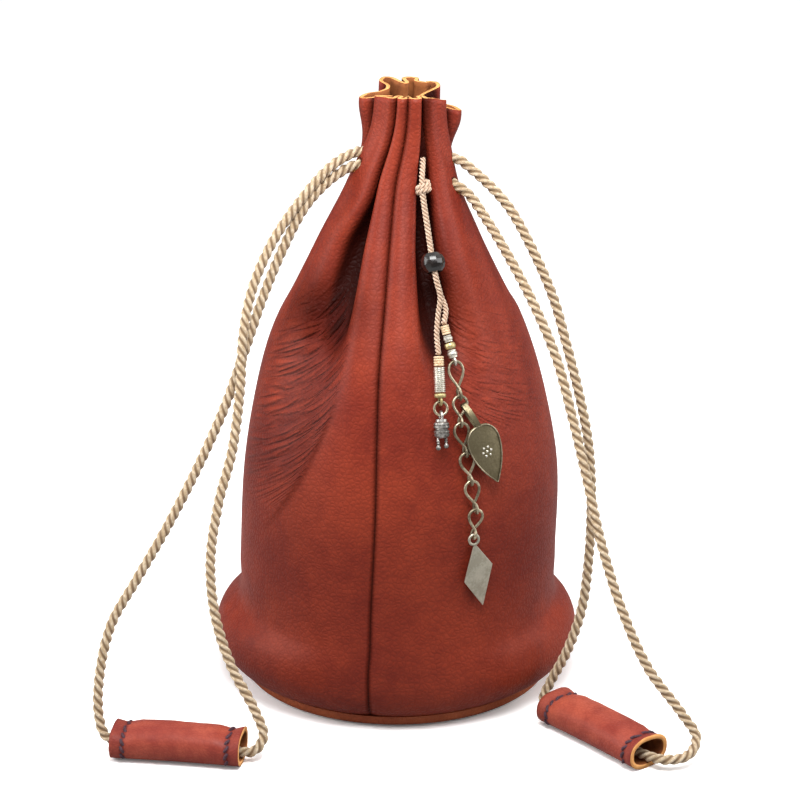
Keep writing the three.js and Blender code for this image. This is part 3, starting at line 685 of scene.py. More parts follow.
@dataclass(frozen=True)
class BagShape:
    """The measures that the wall, the cords and the charm all follow."""

    leather: float = 1.5
    depth_rise: Pair = (100.0, 185.0)
    valley_full: float = 202.0
    lip: Pair = (206.0, 230.5)
    fold: Pair = (120.0, 200.0)
    collar: Pair = (176.0, 200.0)
    neck: Pair = (202.0, 228.0)
    overhang: float = 1.25
    rounding: float = 0.9
    sharpness: float = 1.4
    # Middle angle and height of the hollow below the left fold, how far it spreads, and its depth.
    hollow: tuple[float, float, float, float, float] = (310.0, 132.0, 20.0, 17.0, 3.6)
    # Height, outer radius at the sides, lean, and outer radius at the front and the back of the wall.
    outline: tuple[tuple[float, float, float, float], ...] = (
        (5.3, 60.6, 0, 60.6), (9.5, 67, 0, 65.4), (16.5, 71, 0, 67.6), (25.5, 69.2, 0, 67.6),
        (33.5, 62.4, 0.5, 66.8), (48, 61.8, 0.6, 65), (85, 60.9, 1.8, 61.4), (115, 55.9, 1.6, 55.9),
        (138, 49.5, 1.3, 49.5), (160, 39.7, 1.7, 39.7), (180, 30.2, 1.9, 30.2), (199, 21.6, 2.4, 21.6),
        (217, 16.2, 4.7, 16.2), (230.5, 15, 5.3, 15),
    )
    pleats: tuple[tuple[Valley, Ridge], ...] = (
        (Valley((-9, -8.5, -4), 2.7, depth=(1.4, 4.2), seam=True), Ridge((1, 2, 8.5), 2.7)),
        (Valley((19, 24, 21.5), 2.7, 118, 13.7, 10.5), Ridge((44, 50, 26.5), 2.7)),
        (Valley((58, 62, 41), 2, depth=(0, 0.5)), Ridge((72, 74, 56), 0.8)),
        (Valley((110, 103, 80), -2, 146, 6.6, 8), Ridge((123, 118, 101), -6, 4.6)),
        (Valley((136, 133, 122), -1, 140, 6.2, 4.5), Ridge((149, 147, 140), 2.8, 1)),
        (Valley((163, 162, 159), 3.4, 146, 6.4, 11), Ridge((180, 180, 180), 4, 1)),
        (Valley((197, 198, 201), 4.2, 140, 6.2, 4.6), Ridge((211, 213, 220), 4.8, 1)),
        (Valley((224, 228, 239), 2, 146, 6.4, 10), Ridge((237, 243, 260), -0.8, 4.4)),
        (Valley((250, 258, 282), 0.8, 146, 6.6, 7.5), Ridge((276, 288, 305), 2.2)),
        (Valley((283, 304, 317.5), 2.5, depth=(0, 0.5)), Ridge((290, 320, 330), 2.6)),
        (Valley((325, 328.5, 338), 2.7, 122, 13.7, 10.5), Ridge((339, 339.5, 347.5), 2.7)),
    )

    def column(self, place: int, z: float) -> float:
        """Reads one column of the outline at a height.

        Args:
            place: The column.
            z: The height.

        Returns:
            The smooth value between the rows.
        """
        table = np.array(self.outline, dtype=float)
        x, y = table[:, 0], table[:, place]
        last = len(x) - 1
        z = min(max(z, x[0]), x[-1])
        before, after = np.maximum(np.arange(last + 1) - 1, 0), np.minimum(np.arange(last + 1) + 1, last)
        slope = (y[after] - y[before]) / (x[after] - x[before])
        i = min(max(int(np.searchsorted(x, z)) - 1, 0), last - 1)
        span = x[i + 1] - x[i]
        t = (z - x[i]) / span
        return float(
            y[i] * (2 * t**3 - 3 * t**2 + 1) + slope[i] * span * (t**3 - 2 * t**2 + t)
            + y[i + 1] * (3 * t**2 - 2 * t**3) + slope[i + 1] * span * (t**3 - t**2)
        )

    def radius(self, z: float) -> float:
        """Returns the wall's outer radius at a height."""
        return self.column(1, z)

    def lean(self, z: float) -> float:
        """Returns how far the axis leans to the right at a height."""
        return self.column(2, z)

    def roll_ease(self, angle: Array | float, z: float) -> Array | float:
        """Returns how much further out the wall lies at an angle than at the sides."""
        return (self.column(3, z) - self.radius(z)) * np.cos(angle) ** 2

    def hollow_drop(self, angle: Array, z: float) -> Array:
        """Returns how far the wall sinks into the hollow at each angle of a level."""
        middle, height, half_angle, half_height, depth = self.hollow
        across, up = (np.degrees(angle) - middle) / half_angle, (z - height) / half_height
        return depth * np.exp(-(across**2) - up**2)

    def valley_drop(self, valley: Valley, z: float) -> float:
        """Returns how far a valley lies inside the outline at a height."""
        if valley.depth:
            return lerp(*valley.depth, smoothstep(z, *self.depth_rise))
        bottom = lerp(valley.floor, valley.lip, smoothstep(z, *self.lip))
        return (self.radius(z) - self.leather / 2 - bottom) * smoothstep(z, valley.start, self.valley_full)

    def fold_angle(self, fold: Valley | Ridge, z: float) -> float:
        """Returns the angle of a ridge or a valley at a height."""
        shoulder, collar, neck = fold.at
        below = lerp(shoulder, collar, smoothstep(z, *self.collar))
        return below + (neck - collar) * smoothstep(z, *self.neck)

    def level(self, z: float, per_flank: int) -> tuple[Array, Array, Array]:
        """Draws the middle line of the wall at one height.

        Args:
            z: The height.
            per_flank: Points on each flank of a pleat.

        Returns:
            The points, how deep each lies inside the outline, and their angles.
        """
        closed, opened = smoothstep(z, *self.fold), smoothstep(z, *self.lip)
        along = np.arange(per_flank) / per_flank
        angles, drops, flares, heights = [], [], [], []
        for i, (before, ridge) in enumerate(self.pleats):
            ahead = self.pleats[(i + 1) % len(self.pleats)][0]
            wrap = 360 if i == len(self.pleats) - 1 else 0
            for t, valley, full in ((1 - along, before, 0), (along, ahead, wrap)):
                wave = closed * np.sin(2 * np.pi * t) / (2 * np.pi)
                across = t + self.overhang * wave
                down = (t - self.rounding * wave) ** lerp(self.sharpness, 1, closed)
                if valley.depth:
                    across = t
                    down = 1 - np.sqrt(1 - t**2) if valley.seam else np.sin(np.pi / 2 * t) ** 2
                low = self.fold_angle(valley, z) + full
                angles.append(np.radians(lerp(self.fold_angle(ridge, z), low, across)))
                drops.append(self.valley_drop(valley, z) * down)
                flares.append(opened * (1 - t) * ridge.flare)
                heights.append(z + opened * lerp(ridge.rise, valley.rise, t))
        angle, drop = np.concatenate(angles), np.concatenate(drops)
        ease = self.roll_ease(angle, z)
        out = ease + np.concatenate(flares) - self.hollow_drop(angle, z)
        radius = self.radius(z) - self.leather / 2 + out - drop
        x = self.lean(z) + radius * np.sin(angle)
        return np.column_stack([x, -radius * np.cos(angle), np.concatenate(heights)]), drop, angle

    def on_front(self, x: float, z: float, out: float) -> Array:
        """Returns the point on the front of the outline, or a distance outside it."""
        radius = self.radius(z) + self.roll_ease(0.0, z) + out
        across = x - self.lean(z)
        return np.array([x, -math.sqrt(radius * radius - across * across), z])

    def hanging_frame(self, top: Array, bottom: Array) -> Matrix:
        """Makes the frame of something that hangs from one point towards another.

        Args:
            top: The upper point.
            bottom: The lower point.

        Returns:
            The frame in millimetres: z up the line, y into the bag, x to the right.
        """
        up = (top - bottom) / np.linalg.norm(top - bottom)
        inward = np.array([self.lean(top[2]) - top[0], -top[1], 0.0])
        inward -= up * (inward @ up)
        inward /= np.linalg.norm(inward)
        basis = np.eye(4)
        basis[:3] = np.column_stack([np.cross(inward, up), inward, up, top])
        return Matrix(basis.tolist())


SHAPE = BagShape()


def through(matrix: Matrix, points: Array) -> Array:
    """Returns points carried through a frame."""
    basis = np.array(matrix)
    return points @ basis[:3, :3].T + basis[:3, 3]


@dataclass(frozen=True)
class CordLay:
    """How a cord is laid: its radius, its strands, the length of a full turn, and the steps of its mesh."""

    radius: float
    strands: int
    lay: float
    step: float
    sides: int
    floor: float = 0.62

    def section(self) -> Array:
        """Returns the section's radii as shares of the cord's radius, lowest between the strands."""
        half = math.pi / self.strands
        strand = math.sin(half) / (1 + math.sin(half))
        centre = 1 - strand
        angle = np.arange(self.sides) * 2 * math.pi / self.sides
        off = (angle + half) % (2 * half) - half
        inside = np.maximum(strand**2 - (centre * np.sin(off)) ** 2, 0)
        return np.maximum(centre * np.cos(off) + np.sqrt(inside), self.floor)

    def tube(self, name: str, route: Array) -> tuple[Piece, Array]:
        """Lays the strands round a route.

        Args:
            name: The cord's name.
            route: The points that the cord passes.

        Returns:
            The cord and the middle of each of its rings.
        """
        line = smooth_line(route, self.step)
        tangents = np.gradient(line, axis=0)
        tangents /= np.linalg.norm(tangents, axis=1, keepdims=True)
        side = np.cross(tangents[0], UP)
        side /= np.linalg.norm(side)
        shares = self.section()
        reach = self.radius * shares
        around = np.arange(self.sides) * 2 * math.pi / self.sides
        rings = []
        for i, (point, tangent) in enumerate(zip(line, tangents)):
            side = side - tangent * (side @ tangent)
            side /= np.linalg.norm(side)
            other = np.cross(tangent, side)
            angle = around - 2 * math.pi * i * self.step / self.lay
            aside, across = np.outer(reach * np.cos(angle), side), np.outer(reach * np.sin(angle), other)
            rings.append(point + aside + across)
        count, sides = len(line), self.sides
        first, last, top = count * sides, count * sides + 1, (count - 1) * sides
        faces = ring_faces(count, sides).tolist()
        faces += [[first, (i + 1) % sides, i] for i in range(sides)]
        faces += [[last, top + i, top + (i + 1) % sides] for i in range(sides)]
        cord = mesh_object(name, np.concatenate([*rings, line[:1], line[-1:]]), faces)
        j, k = np.divmod(np.arange(top), sides)
        spots = np.zeros((len(cord.data.loops), 2), dtype=np.float32)
        spots[: 4 * top, 0] = np.stack([k, k + 1, k + 1, k], axis=-1).reshape(-1) / sides
        along = np.stack([j, j, j + 1, j + 1], axis=-1).reshape(-1)
        spots[: 4 * top, 1] = along * self.step / (2 * math.pi * self.radius)
        cord.data.uv_layers.new(name="lay").data.foreach_set("uv", spots.reshape(-1))
        # How deep each point lies between strands, where the finish paints shade.
        depth = np.clip((1 - shares) / (1 - self.floor), 0, 1) ** 2
        set_points(cord, "groove", np.concatenate([np.tile(depth, count), [0.5, 0.5]]))
        return cord, line

    def declare(self, cord: Piece, line: Array, digits: int, **ties: object) -> None:
        """Logs a cord's length in metres.

        Args:
            cord: The cord.
            line: The line that it follows.
            digits: The decimals of its length in metres; not used.
            ties: What else is said of it; not used.
        """
        length = float(np.linalg.norm(np.diff(line, axis=0), axis=1).sum()) * MM
        LOG.info("%s: %.4f m", cord.name, length)


@dataclass
class Drawcord:
    """A rope that runs round the neck, comes out at one side and goes down to its toggle and back."""

    side: Side
    lay: CordLay = CordLay(radius=2.0, strands=3, lay=10.5, step=0.62, sides=24, floor=0.7)
    ring_radius: float = 10.6
    butt: float = 4.0
    # The angles at which the rope leaves its ring and comes back to it, and how far below the ring it comes
    # back, as a share of the way down to the last point outside.
    leaves: float = 120.0
    returns: float = 36.0
    below: float = 0.6

    LEFT_RING = 209.7
    RIGHT_RING = 205.0
    LEFT_STRANDS = (
        (-7.5, 1, 210), (-14.5, -4, 210.6), (-23.5, -10, 207), (-36.5, -18, 194), (-46.5, -25, 180),
        (-53.5, -32, 164), (-56.5, -38, 148), (-57.5, -44, 131), (-60.5, -51.5, 109), (-65.5, -58, 91),
        (-68.5, -65, 70), (-66.5, -71, 50), (-60.5, -77, 33), (-52.5, -82, 19), (-49, -85.5, 9.5),
        (-52.5, -88, 4.6), (-60.5, -87, 4.1), (-80.5, -84, 4.1), (-100.5, -81, 4.1), (-108, -79, 6.5),
        (-110.5, -77, 14), (-110, -73, 29), (-105.5, -68, 47), (-96.5, -63, 62), (-85.5, -57, 80),
        (-73.5, -49.5, 102), (-63.5, -42, 123), (-56, -35.5, 143), (-49.5, -29, 161), (-42.5, -22.5, 177),
        (-33.5, -16, 193), (-24.5, -10.5, 201.5), (-16.5, -6.5, 205.6), (-10, -7, 207),
    )
    RIGHT_STRANDS = (
        (14.5, 1, 205), (22, -4, 208), (29.5, -7, 203.5), (41.5, -11.7, 192), (51.5, -16.5, 175),
        (59, -20.5, 158), (64, -24.5, 141), (69, -28.5, 122), (72.5, -32, 104), (73.7, -36, 84),
        (73, -40, 62), (70.5, -43.5, 42), (65, -45.5, 25), (59, -45, 12), (56.5, -46.8, 6),
        (61.5, -53.2, 4.1), (76.9, -71.9, 4.1), (91, -89.4, 4.1), (98.5, -95, 4.6), (107.5, -92, 5),
        (111, -85, 9), (105.5, -81, 17), (93.5, -75, 32), (83.5, -67.5, 53), (76, -60, 76),
        (71, -52.5, 97), (65.5, -44, 119), (59.5, -36.5, 140), (52, -30, 157), (43, -22, 173),
        (33.5, -14.5, 187.5), (26.5, -9, 196), (19.5, -7, 200), (13.7, -7.5, 201),
    )

    @property
    def name(self) -> str:
        """The cord's name."""
        return f"drawcord_{self.side.name.lower()}"

    def neck_arc(self, angles: Pair, heights: Pair, count: int) -> Array:
        """Draws the cord inside the neck.

        Args:
            angles: The first and the last angle.
            heights: The first and the last height.
            count: The number of points.

        Returns:
            The points.
        """
        share = np.linspace(0, 1, count)
        angle, z = np.radians(lerp(*angles, share)), lerp(*heights, share)
        lean = np.array([SHAPE.lean(height) for height in z])
        return np.column_stack([
            lean + self.ring_radius * np.sin(angle), -self.ring_radius * np.cos(angle), z
        ])

    def route(self) -> Array:
        """Returns the points that the cord passes, from one end in the neck to the other."""
        left = self.side is Side.LEFT
        strands = np.array(self.LEFT_STRANDS if left else self.RIGHT_STRANDS, dtype=float)
        ring = self.LEFT_RING if left else self.RIGHT_RING
        sign, back = self.side.value, 180 - self.butt
        start = self.neck_arc((sign * back, sign * self.leaves), (ring, ring), count=2)
        low = lerp(ring, strands[-1][2], self.below)
        end = self.neck_arc((sign * self.returns, -sign * back), (low, ring), count=7)
        return np.concatenate([start, strands, end])

    def build(self) -> tuple[Piece, Array]:
        """Returns the rope and the line that it follows."""
        rope, line = self.lay.tube(f"{self.name}_rope", self.route())
        dress(rope, [Finish.ROPE], [self.name])
        return rope, line


@dataclass(frozen=True)
class WrinkleFan:
    """Short wrinkles that leave a line down the front, droop and then run level round the bag.

    The line's two ends are x and the height seen from the front, and it sweeps aside towards its lower end.
    The wrinkles lie to the side of the line that the sign of reach gives.
    """

    top: Pair
    bottom: Pair
    reach: float
    droop: float
    pitch: float
    amount: float
    sweep: float = 2.0
    # How much a point's y adds to its height in the front view.
    level: float = 0.337
    # The share of the reach in which wrinkles droop, and how much longer than wide they are.
    droop_reach: float = 0.36
    stretch: float = 3.6
    # The ripples under the wrinkles: their pitch and depth, and how far and how fast they wander.
    ripple_pitch: float = 6.8
    ripple_depth: float = 0.8
    wander: float = 0.25
    wander_rate: float = 2.3
    # The shade along the line: its width, its strength, and where it comes in and goes out.
    root_width: float = 1.3
    root_shade: float = 0.4
    root_span: Limits = (0.3, 0.6, 1.2, 0.95)
    # Where wrinkles come in and go out down the line, where they come in beside it in millimetres and go out
    # in shares of the reach, and how far to the front they come in.
    span: Limits = (-0.25, 0.1, 1.15, 0.6)
    start: Pair = (-2.0, 3.0)
    end: Pair = (1.5, 0.6)
    front: Pair = (3.0, 20.0)

    def seen_height(self, points: Array) -> Array:
        """Returns how high points stand in the front view."""
        return points[..., 2] + self.level * points[..., 1]

    def place(self, points: Array) -> tuple[Array, Array]:
        """Returns how far down the line points lie, as a share of it, and how far beside it."""
        share = (self.top[1] - self.seen_height(points)) / (self.top[1] - self.bottom[1])
        line = lerp(self.top[0], self.bottom[0], np.maximum(share, 0) ** self.sweep)
        return share, (points[..., 0] - line) * np.sign(self.reach)

    @staticmethod
    def between(share: Array, limits: Limits) -> Array:
        """Returns a smooth rise between the first two limits and a fall from the last to the third."""
        return smoothstep(share, *limits[:2]) * smoothstep(share, *limits[2:])

    def root(self, points: Array) -> Array:
        """Returns the faint shade in the crease along the lower part of the line."""
        share, away = self.place(points)
        part = self.between(share, self.root_span) * (points[..., 1] < 0)
        return self.root_shade * self.amount * part * bell(away / self.root_width)

    def ripple(self, points: Array) -> Array:
        """Returns how far points sink in the broader ripples that the wrinkles ride on."""
        amount, along, across = self.flow(points)
        waves = across * self.pitch / self.ripple_pitch + self.wander * np.sin(self.wander_rate * along)
        return self.ripple_depth * amount * (0.5 + 0.5 * np.sin(2 * np.pi * waves))

    def flow(self, points: Array) -> tuple[Array, Array, Array]:
        """Lays the fan over points.

        Args:
            points: The wall's points.

        Returns:
            How strongly each is wrinkled, and its place along and across the wrinkles.
        """
        share, away = self.place(points)
        reach = abs(self.reach)
        drooped = 1 - np.exp(-np.maximum(away, 0) / (self.droop_reach * reach))
        across = self.seen_height(points) + self.droop * drooped
        side = smoothstep(away, *self.start) * smoothstep(away, *(limit * reach for limit in self.end))
        front = smoothstep(-points[..., 1], *self.front)
        amount = self.amount * self.between(share, self.span) * side * front
        return amount, away / (self.stretch * self.pitch), across / self.pitch


@dataclass
class BagWall:
    """The leather wall: a gathered sheet, pleated at the neck and pierced for the drawcords."""

    per_flank: int = 16
    rows: int = 128
    hole: float = 2.25
    seam_shade: float = 0.95
    seam_width: float = 1.3
    fans: tuple[WrinkleFan, ...] = (
        WrinkleFan((-17.0, 144.0), (-42.5, 69.0), -32.0, 21.0, 3.3, 1.0),
        WrinkleFan((17.0, 142.0), (31.0, 96.0), 26.0, 12.0, 2.7, 0.32),
    )
    # Depths at which a fold's painted shade starts and is darkest, each on the shoulder and in the neck, and
    # the heights between which the shoulder becomes the neck.
    fold_start: Pair = (1.5, 0.9)
    fold_full: Pair = (7.0, 3.4)
    neck: Pair = (165.0, 205.0)
    # Pleats whose valleys show from the front, the side on which a soft shade lies at each, and its width.
    shaded: tuple[tuple[int, int, float], ...] = ((1, 1, 15.0), (10, -1, 10.0))
    # That shade's strength, its width in the neck as a share of the full one, the heights between which it
    # narrows, and how far above a valley's start it comes in.
    soft_strength: float = 0.95
    soft_narrow: float = 0.18
    soft_neck: Pair = (150.0, 205.0)
    soft_rise: Pair = (12.0, 50.0)
    # Shade in the hollow under the front fold: its place seen from the front, its half sizes, its strength,
    # and how far to the front it comes in.
    hollow_shade: tuple[float, float, float, float, float] = (-28.0, 147.5, 16.0, 13.5, 0.85)
    hollow_front: Pair = (2.0, 14.0)
    # Painted shade that darkens the lower front: its strength, the heights between which it comes in, and how
    # far to the front.
    lower_front_shade: float = 0.22
    low_heights: Pair = (130.0, 60.0)
    low_front: Pair = (10.0, 45.0)

    FINISHES = (Finish.WALL, Finish.FLESH, Finish.EDGE)

    def surface(self) -> tuple[Array, Array, Array]:
        """Returns the middle of the wall as rows of points, how deep each lies in a fold, and its angle."""
        heights = np.linspace(SHAPE.outline[0][0], SHAPE.outline[-1][0], self.rows)
        levels = [SHAPE.level(z, self.per_flank) for z in heights]
        return tuple(np.array([level[i] for level in levels]) for i in range(3))

    def build(self, routes: list[Array]) -> Piece:
        """Makes the wall.

        Args:
            routes: The routes of the drawcords that pierce it.

        Returns:
            The wall.
        """
        rows, drops, angles = self.surface()
        wrinkled, along, across = (np.array(part) for part in zip(*(fan.flow(rows) for fan in self.fans)))
        rows = self.rippled(rows, sum(fan.ripple(rows) for fan in self.fans))
        wall = mesh_object("bag_wall_leather", *thick_wall(rows, SHAPE.leather, UP))
        # The fold attribute carries the painted shade that shade() works out.
        set_points(wall, "fold", np.tile(self.shade(rows, drops, angles).reshape(-1), 2))
        crinkle = wrinkled.max(axis=0).reshape(-1)
        set_points(wall, "crinkle", np.concatenate([crinkle, crinkle * 0]))
        strongest = wrinkled.argmax(axis=0)[None]
        flow = [np.take_along_axis(part, strongest, axis=0).reshape(-1) for part in (along, across)]
        set_points(wall, "flow", np.tile(np.column_stack([*flow, flow[0] * 0]), (2, 1)))
        give_finishes(wall, *self.FINISHES)
        for i, route in enumerate(routes):
            self.pierce(wall, route, i)
        return wall

    @staticmethod
    def rippled(rows: Array, sink: Array) -> Array:
        """Returns the wall's points sunk towards the bag's middle by a distance at each point."""
        inward = rows * (1.0, 1.0, 0.0)
        inward /= -np.linalg.norm(inward, axis=-1, keepdims=True)
        return rows + inward * sink[..., None]

    def shade(self, rows: Array, drops: Array, angles: Array) -> Array:
        """Paints shade into the folds, along the seam, in the hollow and on the lower front.

        Args:
            rows: The wall's points.
            drops: How deep each lies in a fold.
            angles: Their angles.

        Returns:
            The shade at each point.
        """
        heights, front = rows[:, :1, 2], -rows[..., 1]
        seam_angle = np.radians([SHAPE.fold_angle(SHAPE.pleats[0][0], z) for z in heights[:, 0]])[:, None]
        off = (angles - seam_angle + np.pi) % (2 * np.pi) - np.pi
        seam = self.seam_shade * bell(off * np.hypot(rows[..., 0], rows[..., 1]) / self.seam_width)
        neck = smoothstep(heights, *self.neck)
        fold = smoothstep(drops, lerp(*self.fold_start, neck), lerp(*self.fold_full, neck))
        valleys = [self.soft_shade(rows, angles, *row) for row in self.shaded]
        x, up, wide, tall, strength = self.hollow_shade
        seen = self.fans[0].seen_height(rows)
        patch_shade = strength * bell((rows[..., 0] - x) / wide) * bell((seen - up) / tall)
        patch_shade = patch_shade * smoothstep(front, *self.hollow_front)
        low = smoothstep(heights, *self.low_heights) * smoothstep(front, *self.low_front)
        patch_shade = patch_shade + self.lower_front_shade * low + sum(fan.root(rows) for fan in self.fans)
        return np.maximum.reduce([fold, seam, *valleys, patch_shade])

    def soft_shade(
        self, rows: Array, angles: Array, place: int, side: int, width: float
    ) -> Array:
        """Returns the shade that lies on one side of a valley.

        Args:
            rows: The wall's points.
            angles: Their angles.
            place: The valley's pleat.
            side: The side, as the sign of the angle from the valley.
            width: How far it spreads on the shoulder.

        Returns:
            The shade at each point.
        """
        heights, valley = rows[:, 0, 2], SHAPE.pleats[place][0]
        middle = np.radians([SHAPE.fold_angle(valley, z) for z in heights])[:, None]
        radius = np.array([SHAPE.radius(z) for z in heights])[:, None]
        away = (angles - middle) * radius * side
        reach = width * lerp(1, self.soft_narrow, smoothstep(heights, *self.soft_neck))[:, None]
        depth = smoothstep(heights, *(valley.start + rise for rise in self.soft_rise))[:, None]
        return self.soft_strength * depth * bell(np.maximum(away, 0) / reach) * (away > -1)

    def pierce(self, wall: Piece, route: Array, place: int) -> None:
        """Cuts the holes that a drawcord passes through.

        Args:
            wall: The wall.
            route: The cord's route.
            place: The cord's number.
        """
        untwisted = 1e6
        punch = CordLay(self.hole, strands=3, lay=untwisted, step=2.0, sides=16, floor=1.0)
        cutter, _ = punch.tube(f"hole_punch_{place}", route)
        give_finishes(cutter, *self.FINISHES)
        cut_edge = np.full(len(cutter.data.polygons), self.FINISHES.index(Finish.EDGE), dtype=np.int32)
        cutter.data.polygons.foreach_set("material_index", cut_edge)
        Workbench.clear()
        bpy.context.view_layer.objects.active = wall
        wall.select_set(True)
        Workbench.modify(wall, "BOOLEAN", operation="DIFFERENCE", solver="MANIFOLD", object=cutter)
        bpy.data.objects.remove(cutter)

    def dress(self, wall: Piece) -> None:
        """Gives the wall its body and hides the CAD wall that it stands for."""
        dress(wall, [*self.FINISHES], ["bag_wall"])


class Workbench:
    """Ways of shaping rigid pieces by hand tools."""

    @staticmethod
    def clear() -> None:
        """Deselects everything."""
        if bpy.context.object and bpy.context.object.mode != "OBJECT":
            bpy.ops.object.mode_set(mode="OBJECT")
        bpy.ops.object.select_all(action="DESELECT")

    @classmethod
    def primitive(cls, name: str, add: Callable[..., object], **settings: object) -> Piece:
        """Adds a primitive and applies its place and turn to its mesh.

        Args:
            name: The piece's name.
            add: The operator that adds it.
            settings: The operator's settings.

        Returns:
            The piece.
        """
        cls.clear()
        add(**settings)
        piece = bpy.context.object
        piece.name = name
        bpy.ops.object.transform_apply(location=True, rotation=True, scale=True)
        return piece

    @staticmethod
    def modify(piece: Piece, kind: str, **settings: object) -> None:
        """Applies a modifier to the active piece.

        Args:
            piece: The piece.
            kind: The modifier's type.
            settings: The modifier's settings.
        """
        modifier = piece.modifiers.new(kind.lower(), kind)
        for name, value in settings.items():
            setattr(modifier, name, value)
        bpy.ops.object.modifier_apply(modifier=modifier.name)

    @staticmethod
    def extrude(shift: Point) -> None:
        """Extrudes the whole active piece and turns its faces outwards.

        Args:
            shift: How far, in metres.
        """
        bpy.ops.object.mode_set(mode="EDIT")
        bpy.ops.mesh.select_all(action="SELECT")
        bpy.ops.mesh.extrude_region_move(TRANSFORM_OT_translate={"value": shift})
        bpy.ops.mesh.select_all(action="SELECT")
        bpy.ops.mesh.normals_make_consistent(inside=False)
        bpy.ops.object.mode_set(mode="OBJECT")

    @staticmethod
    def smooth(degrees: float = 40.0) -> None:
        """Shades the active piece smooth where its faces meet at less than an angle."""
        bpy.ops.object.shade_smooth_by_angle(angle=math.radians(degrees))

    @classmethod
    def turned(
        cls, name: str, profile: list[Pair], sides: int, bored: bool = False
    ) -> Piece:
        """Turns a solid about z by extruding a disc, or a ring if it is bored, along its profile.

        Args:
            name: The piece's name.
            profile: Radius and height of each step, from one end to the other.
            sides: The number of sides.
            bored: Whether the profile comes back to its start and leaves a hole along the axis.

        Returns:
            The solid, in metres.
        """
        radius, low = profile[0]
        piece = cls.primitive(
            name, bpy.ops.mesh.primitive_circle_add, vertices=sides, radius=radius * MM,
            fill_type="NOTHING" if bored else "NGON", location=(0, 0, low * MM),
        )
        bpy.ops.object.mode_set(mode="EDIT")
        bpy.ops.mesh.select_all(action="SELECT")
        for reach, z in profile[1:]:
            bpy.ops.mesh.extrude_region_move(TRANSFORM_OT_translate={"value": (0, 0, (z - low) * MM)})
            bpy.ops.transform.resize(
                value=(reach / radius, reach / radius, 1), center_override=(0, 0, z * MM)
            )
            radius, low = reach, z
        bpy.ops.mesh.select_all(action="SELECT")
        if bored:
            bpy.ops.mesh.remove_doubles(threshold=1e-6)
        bpy.ops.mesh.normals_make_consistent(inside=False)
        bpy.ops.object.mode_set(mode="OBJECT")
        cls.smooth()
        return piece

    @classmethod
    def wire(
        cls, name: str, points: Array, radius: float, closed: bool, step: float = 0.35
    ) -> Piece:
        """Bends a round wire along a smooth line.

        Args:
            name: The piece's name.
            points: The points that the wire passes.
            radius: The wire's radius.
            closed: Whether its ends meet.
            step: The length of its steps.

        Returns:
            The wire as a mesh.
        """
        cls.clear()
        curve = bpy.data.curves.new(name, "CURVE")
        curve.dimensions = "3D"
        curve.bevel_depth = radius * MM
        curve.bevel_resolution = 3
        curve.use_fill_caps = True
        line = smooth_line(points, step, closed)
        spline = curve.splines.new("POLY")
        spline.points.add(len(line) - 1)
        spline.points.foreach_set("co", np.column_stack([line * MM, np.ones(len(line))]).reshape(-1))
        spline.use_cyclic_u = closed
        piece = bpy.data.objects.new(name, curve)
        bpy.context.scene.collection.objects.link(piece)
        bpy.context.view_layer.objects.active = piece
        piece.select_set(True)
        bpy.ops.object.convert(target="MESH")
        bpy.ops.object.shade_smooth()
        return bpy.context.object

    @classmethod
    def ring(cls, name: str, radius: float, wire: float, facing: bool, z: float) -> Piece:
        """Makes a ring of wire round a point of the z axis.

        Args:
            name: The piece's name.
            radius: The ring's radius, to the middle of its wire.
            wire: The wire's radius.
            facing: Whether the ring shows as a circle from the front.
            z: The height of its middle.

        Returns:
            The ring.
        """
        piece = cls.primitive(
            name, bpy.ops.mesh.primitive_torus_add, major_radius=radius * MM, minor_radius=wire * MM,
            major_segments=32, minor_segments=10, location=(0, 0, z * MM),
            rotation=(math.pi / 2, 0, 0) if facing else (0, math.pi / 2, 0),
        )
        bpy.ops.object.shade_smooth()
        return piece

    @classmethod
    def dome(cls, name: str, place: Point, radius: float, rise: float) -> Piece:
        """Makes a small dome that stands out towards -y.

        Args:
            name: The piece's name.
            place: Its middle.
            radius: Its radius.
            rise: How far it stands out.

        Returns:
            The dome.
        """
        piece = cls.primitive(
            name, bpy.ops.mesh.primitive_uv_sphere_add, segments=10, ring_count=5, radius=radius * MM,
            location=tuple(v * MM for v in place), rotation=(math.pi / 2, 0, 0), scale=(1, 1, rise / radius),
        )
        bpy.ops.object.shade_smooth()
        return piece

    @classmethod
    def outlined(cls, name: str, corners: Array, fill: str) -> Piece:
        """Makes an outline.

        Args:
            name: The piece's name.
            corners: Its corners, going round.
            fill: How it is filled, as the circle operator names it.

        Returns:
            The outline, which is the active object.
        """
        piece = cls.primitive(
            name, bpy.ops.mesh.primitive_circle_add, vertices=len(corners), radius=MM, fill_type=fill
        )
        piece.data.vertices.foreach_set("co", (corners * MM).reshape(-1))
        return piece

    @classmethod
    def strip(cls, name: str, line: Array, width: float, thickness: float) -> Piece:
        """Bends a flat strip round a closed line in the yz plane.

        Args:
            name: The piece's name.
            line: The middle of the strip's thickness, as y and z.
            width: The strip's width along x.
            thickness: The strip's thickness.

        Returns:
            The strip.
        """
        piece = cls.outlined(name, np.column_stack([np.full(len(line), -width / 2), line]), "NOTHING")
        cls.extrude((width * MM, 0, 0))
        cls.modify(piece, "SOLIDIFY", thickness=thickness * MM, offset=0)
        cls.smooth()
        return piece

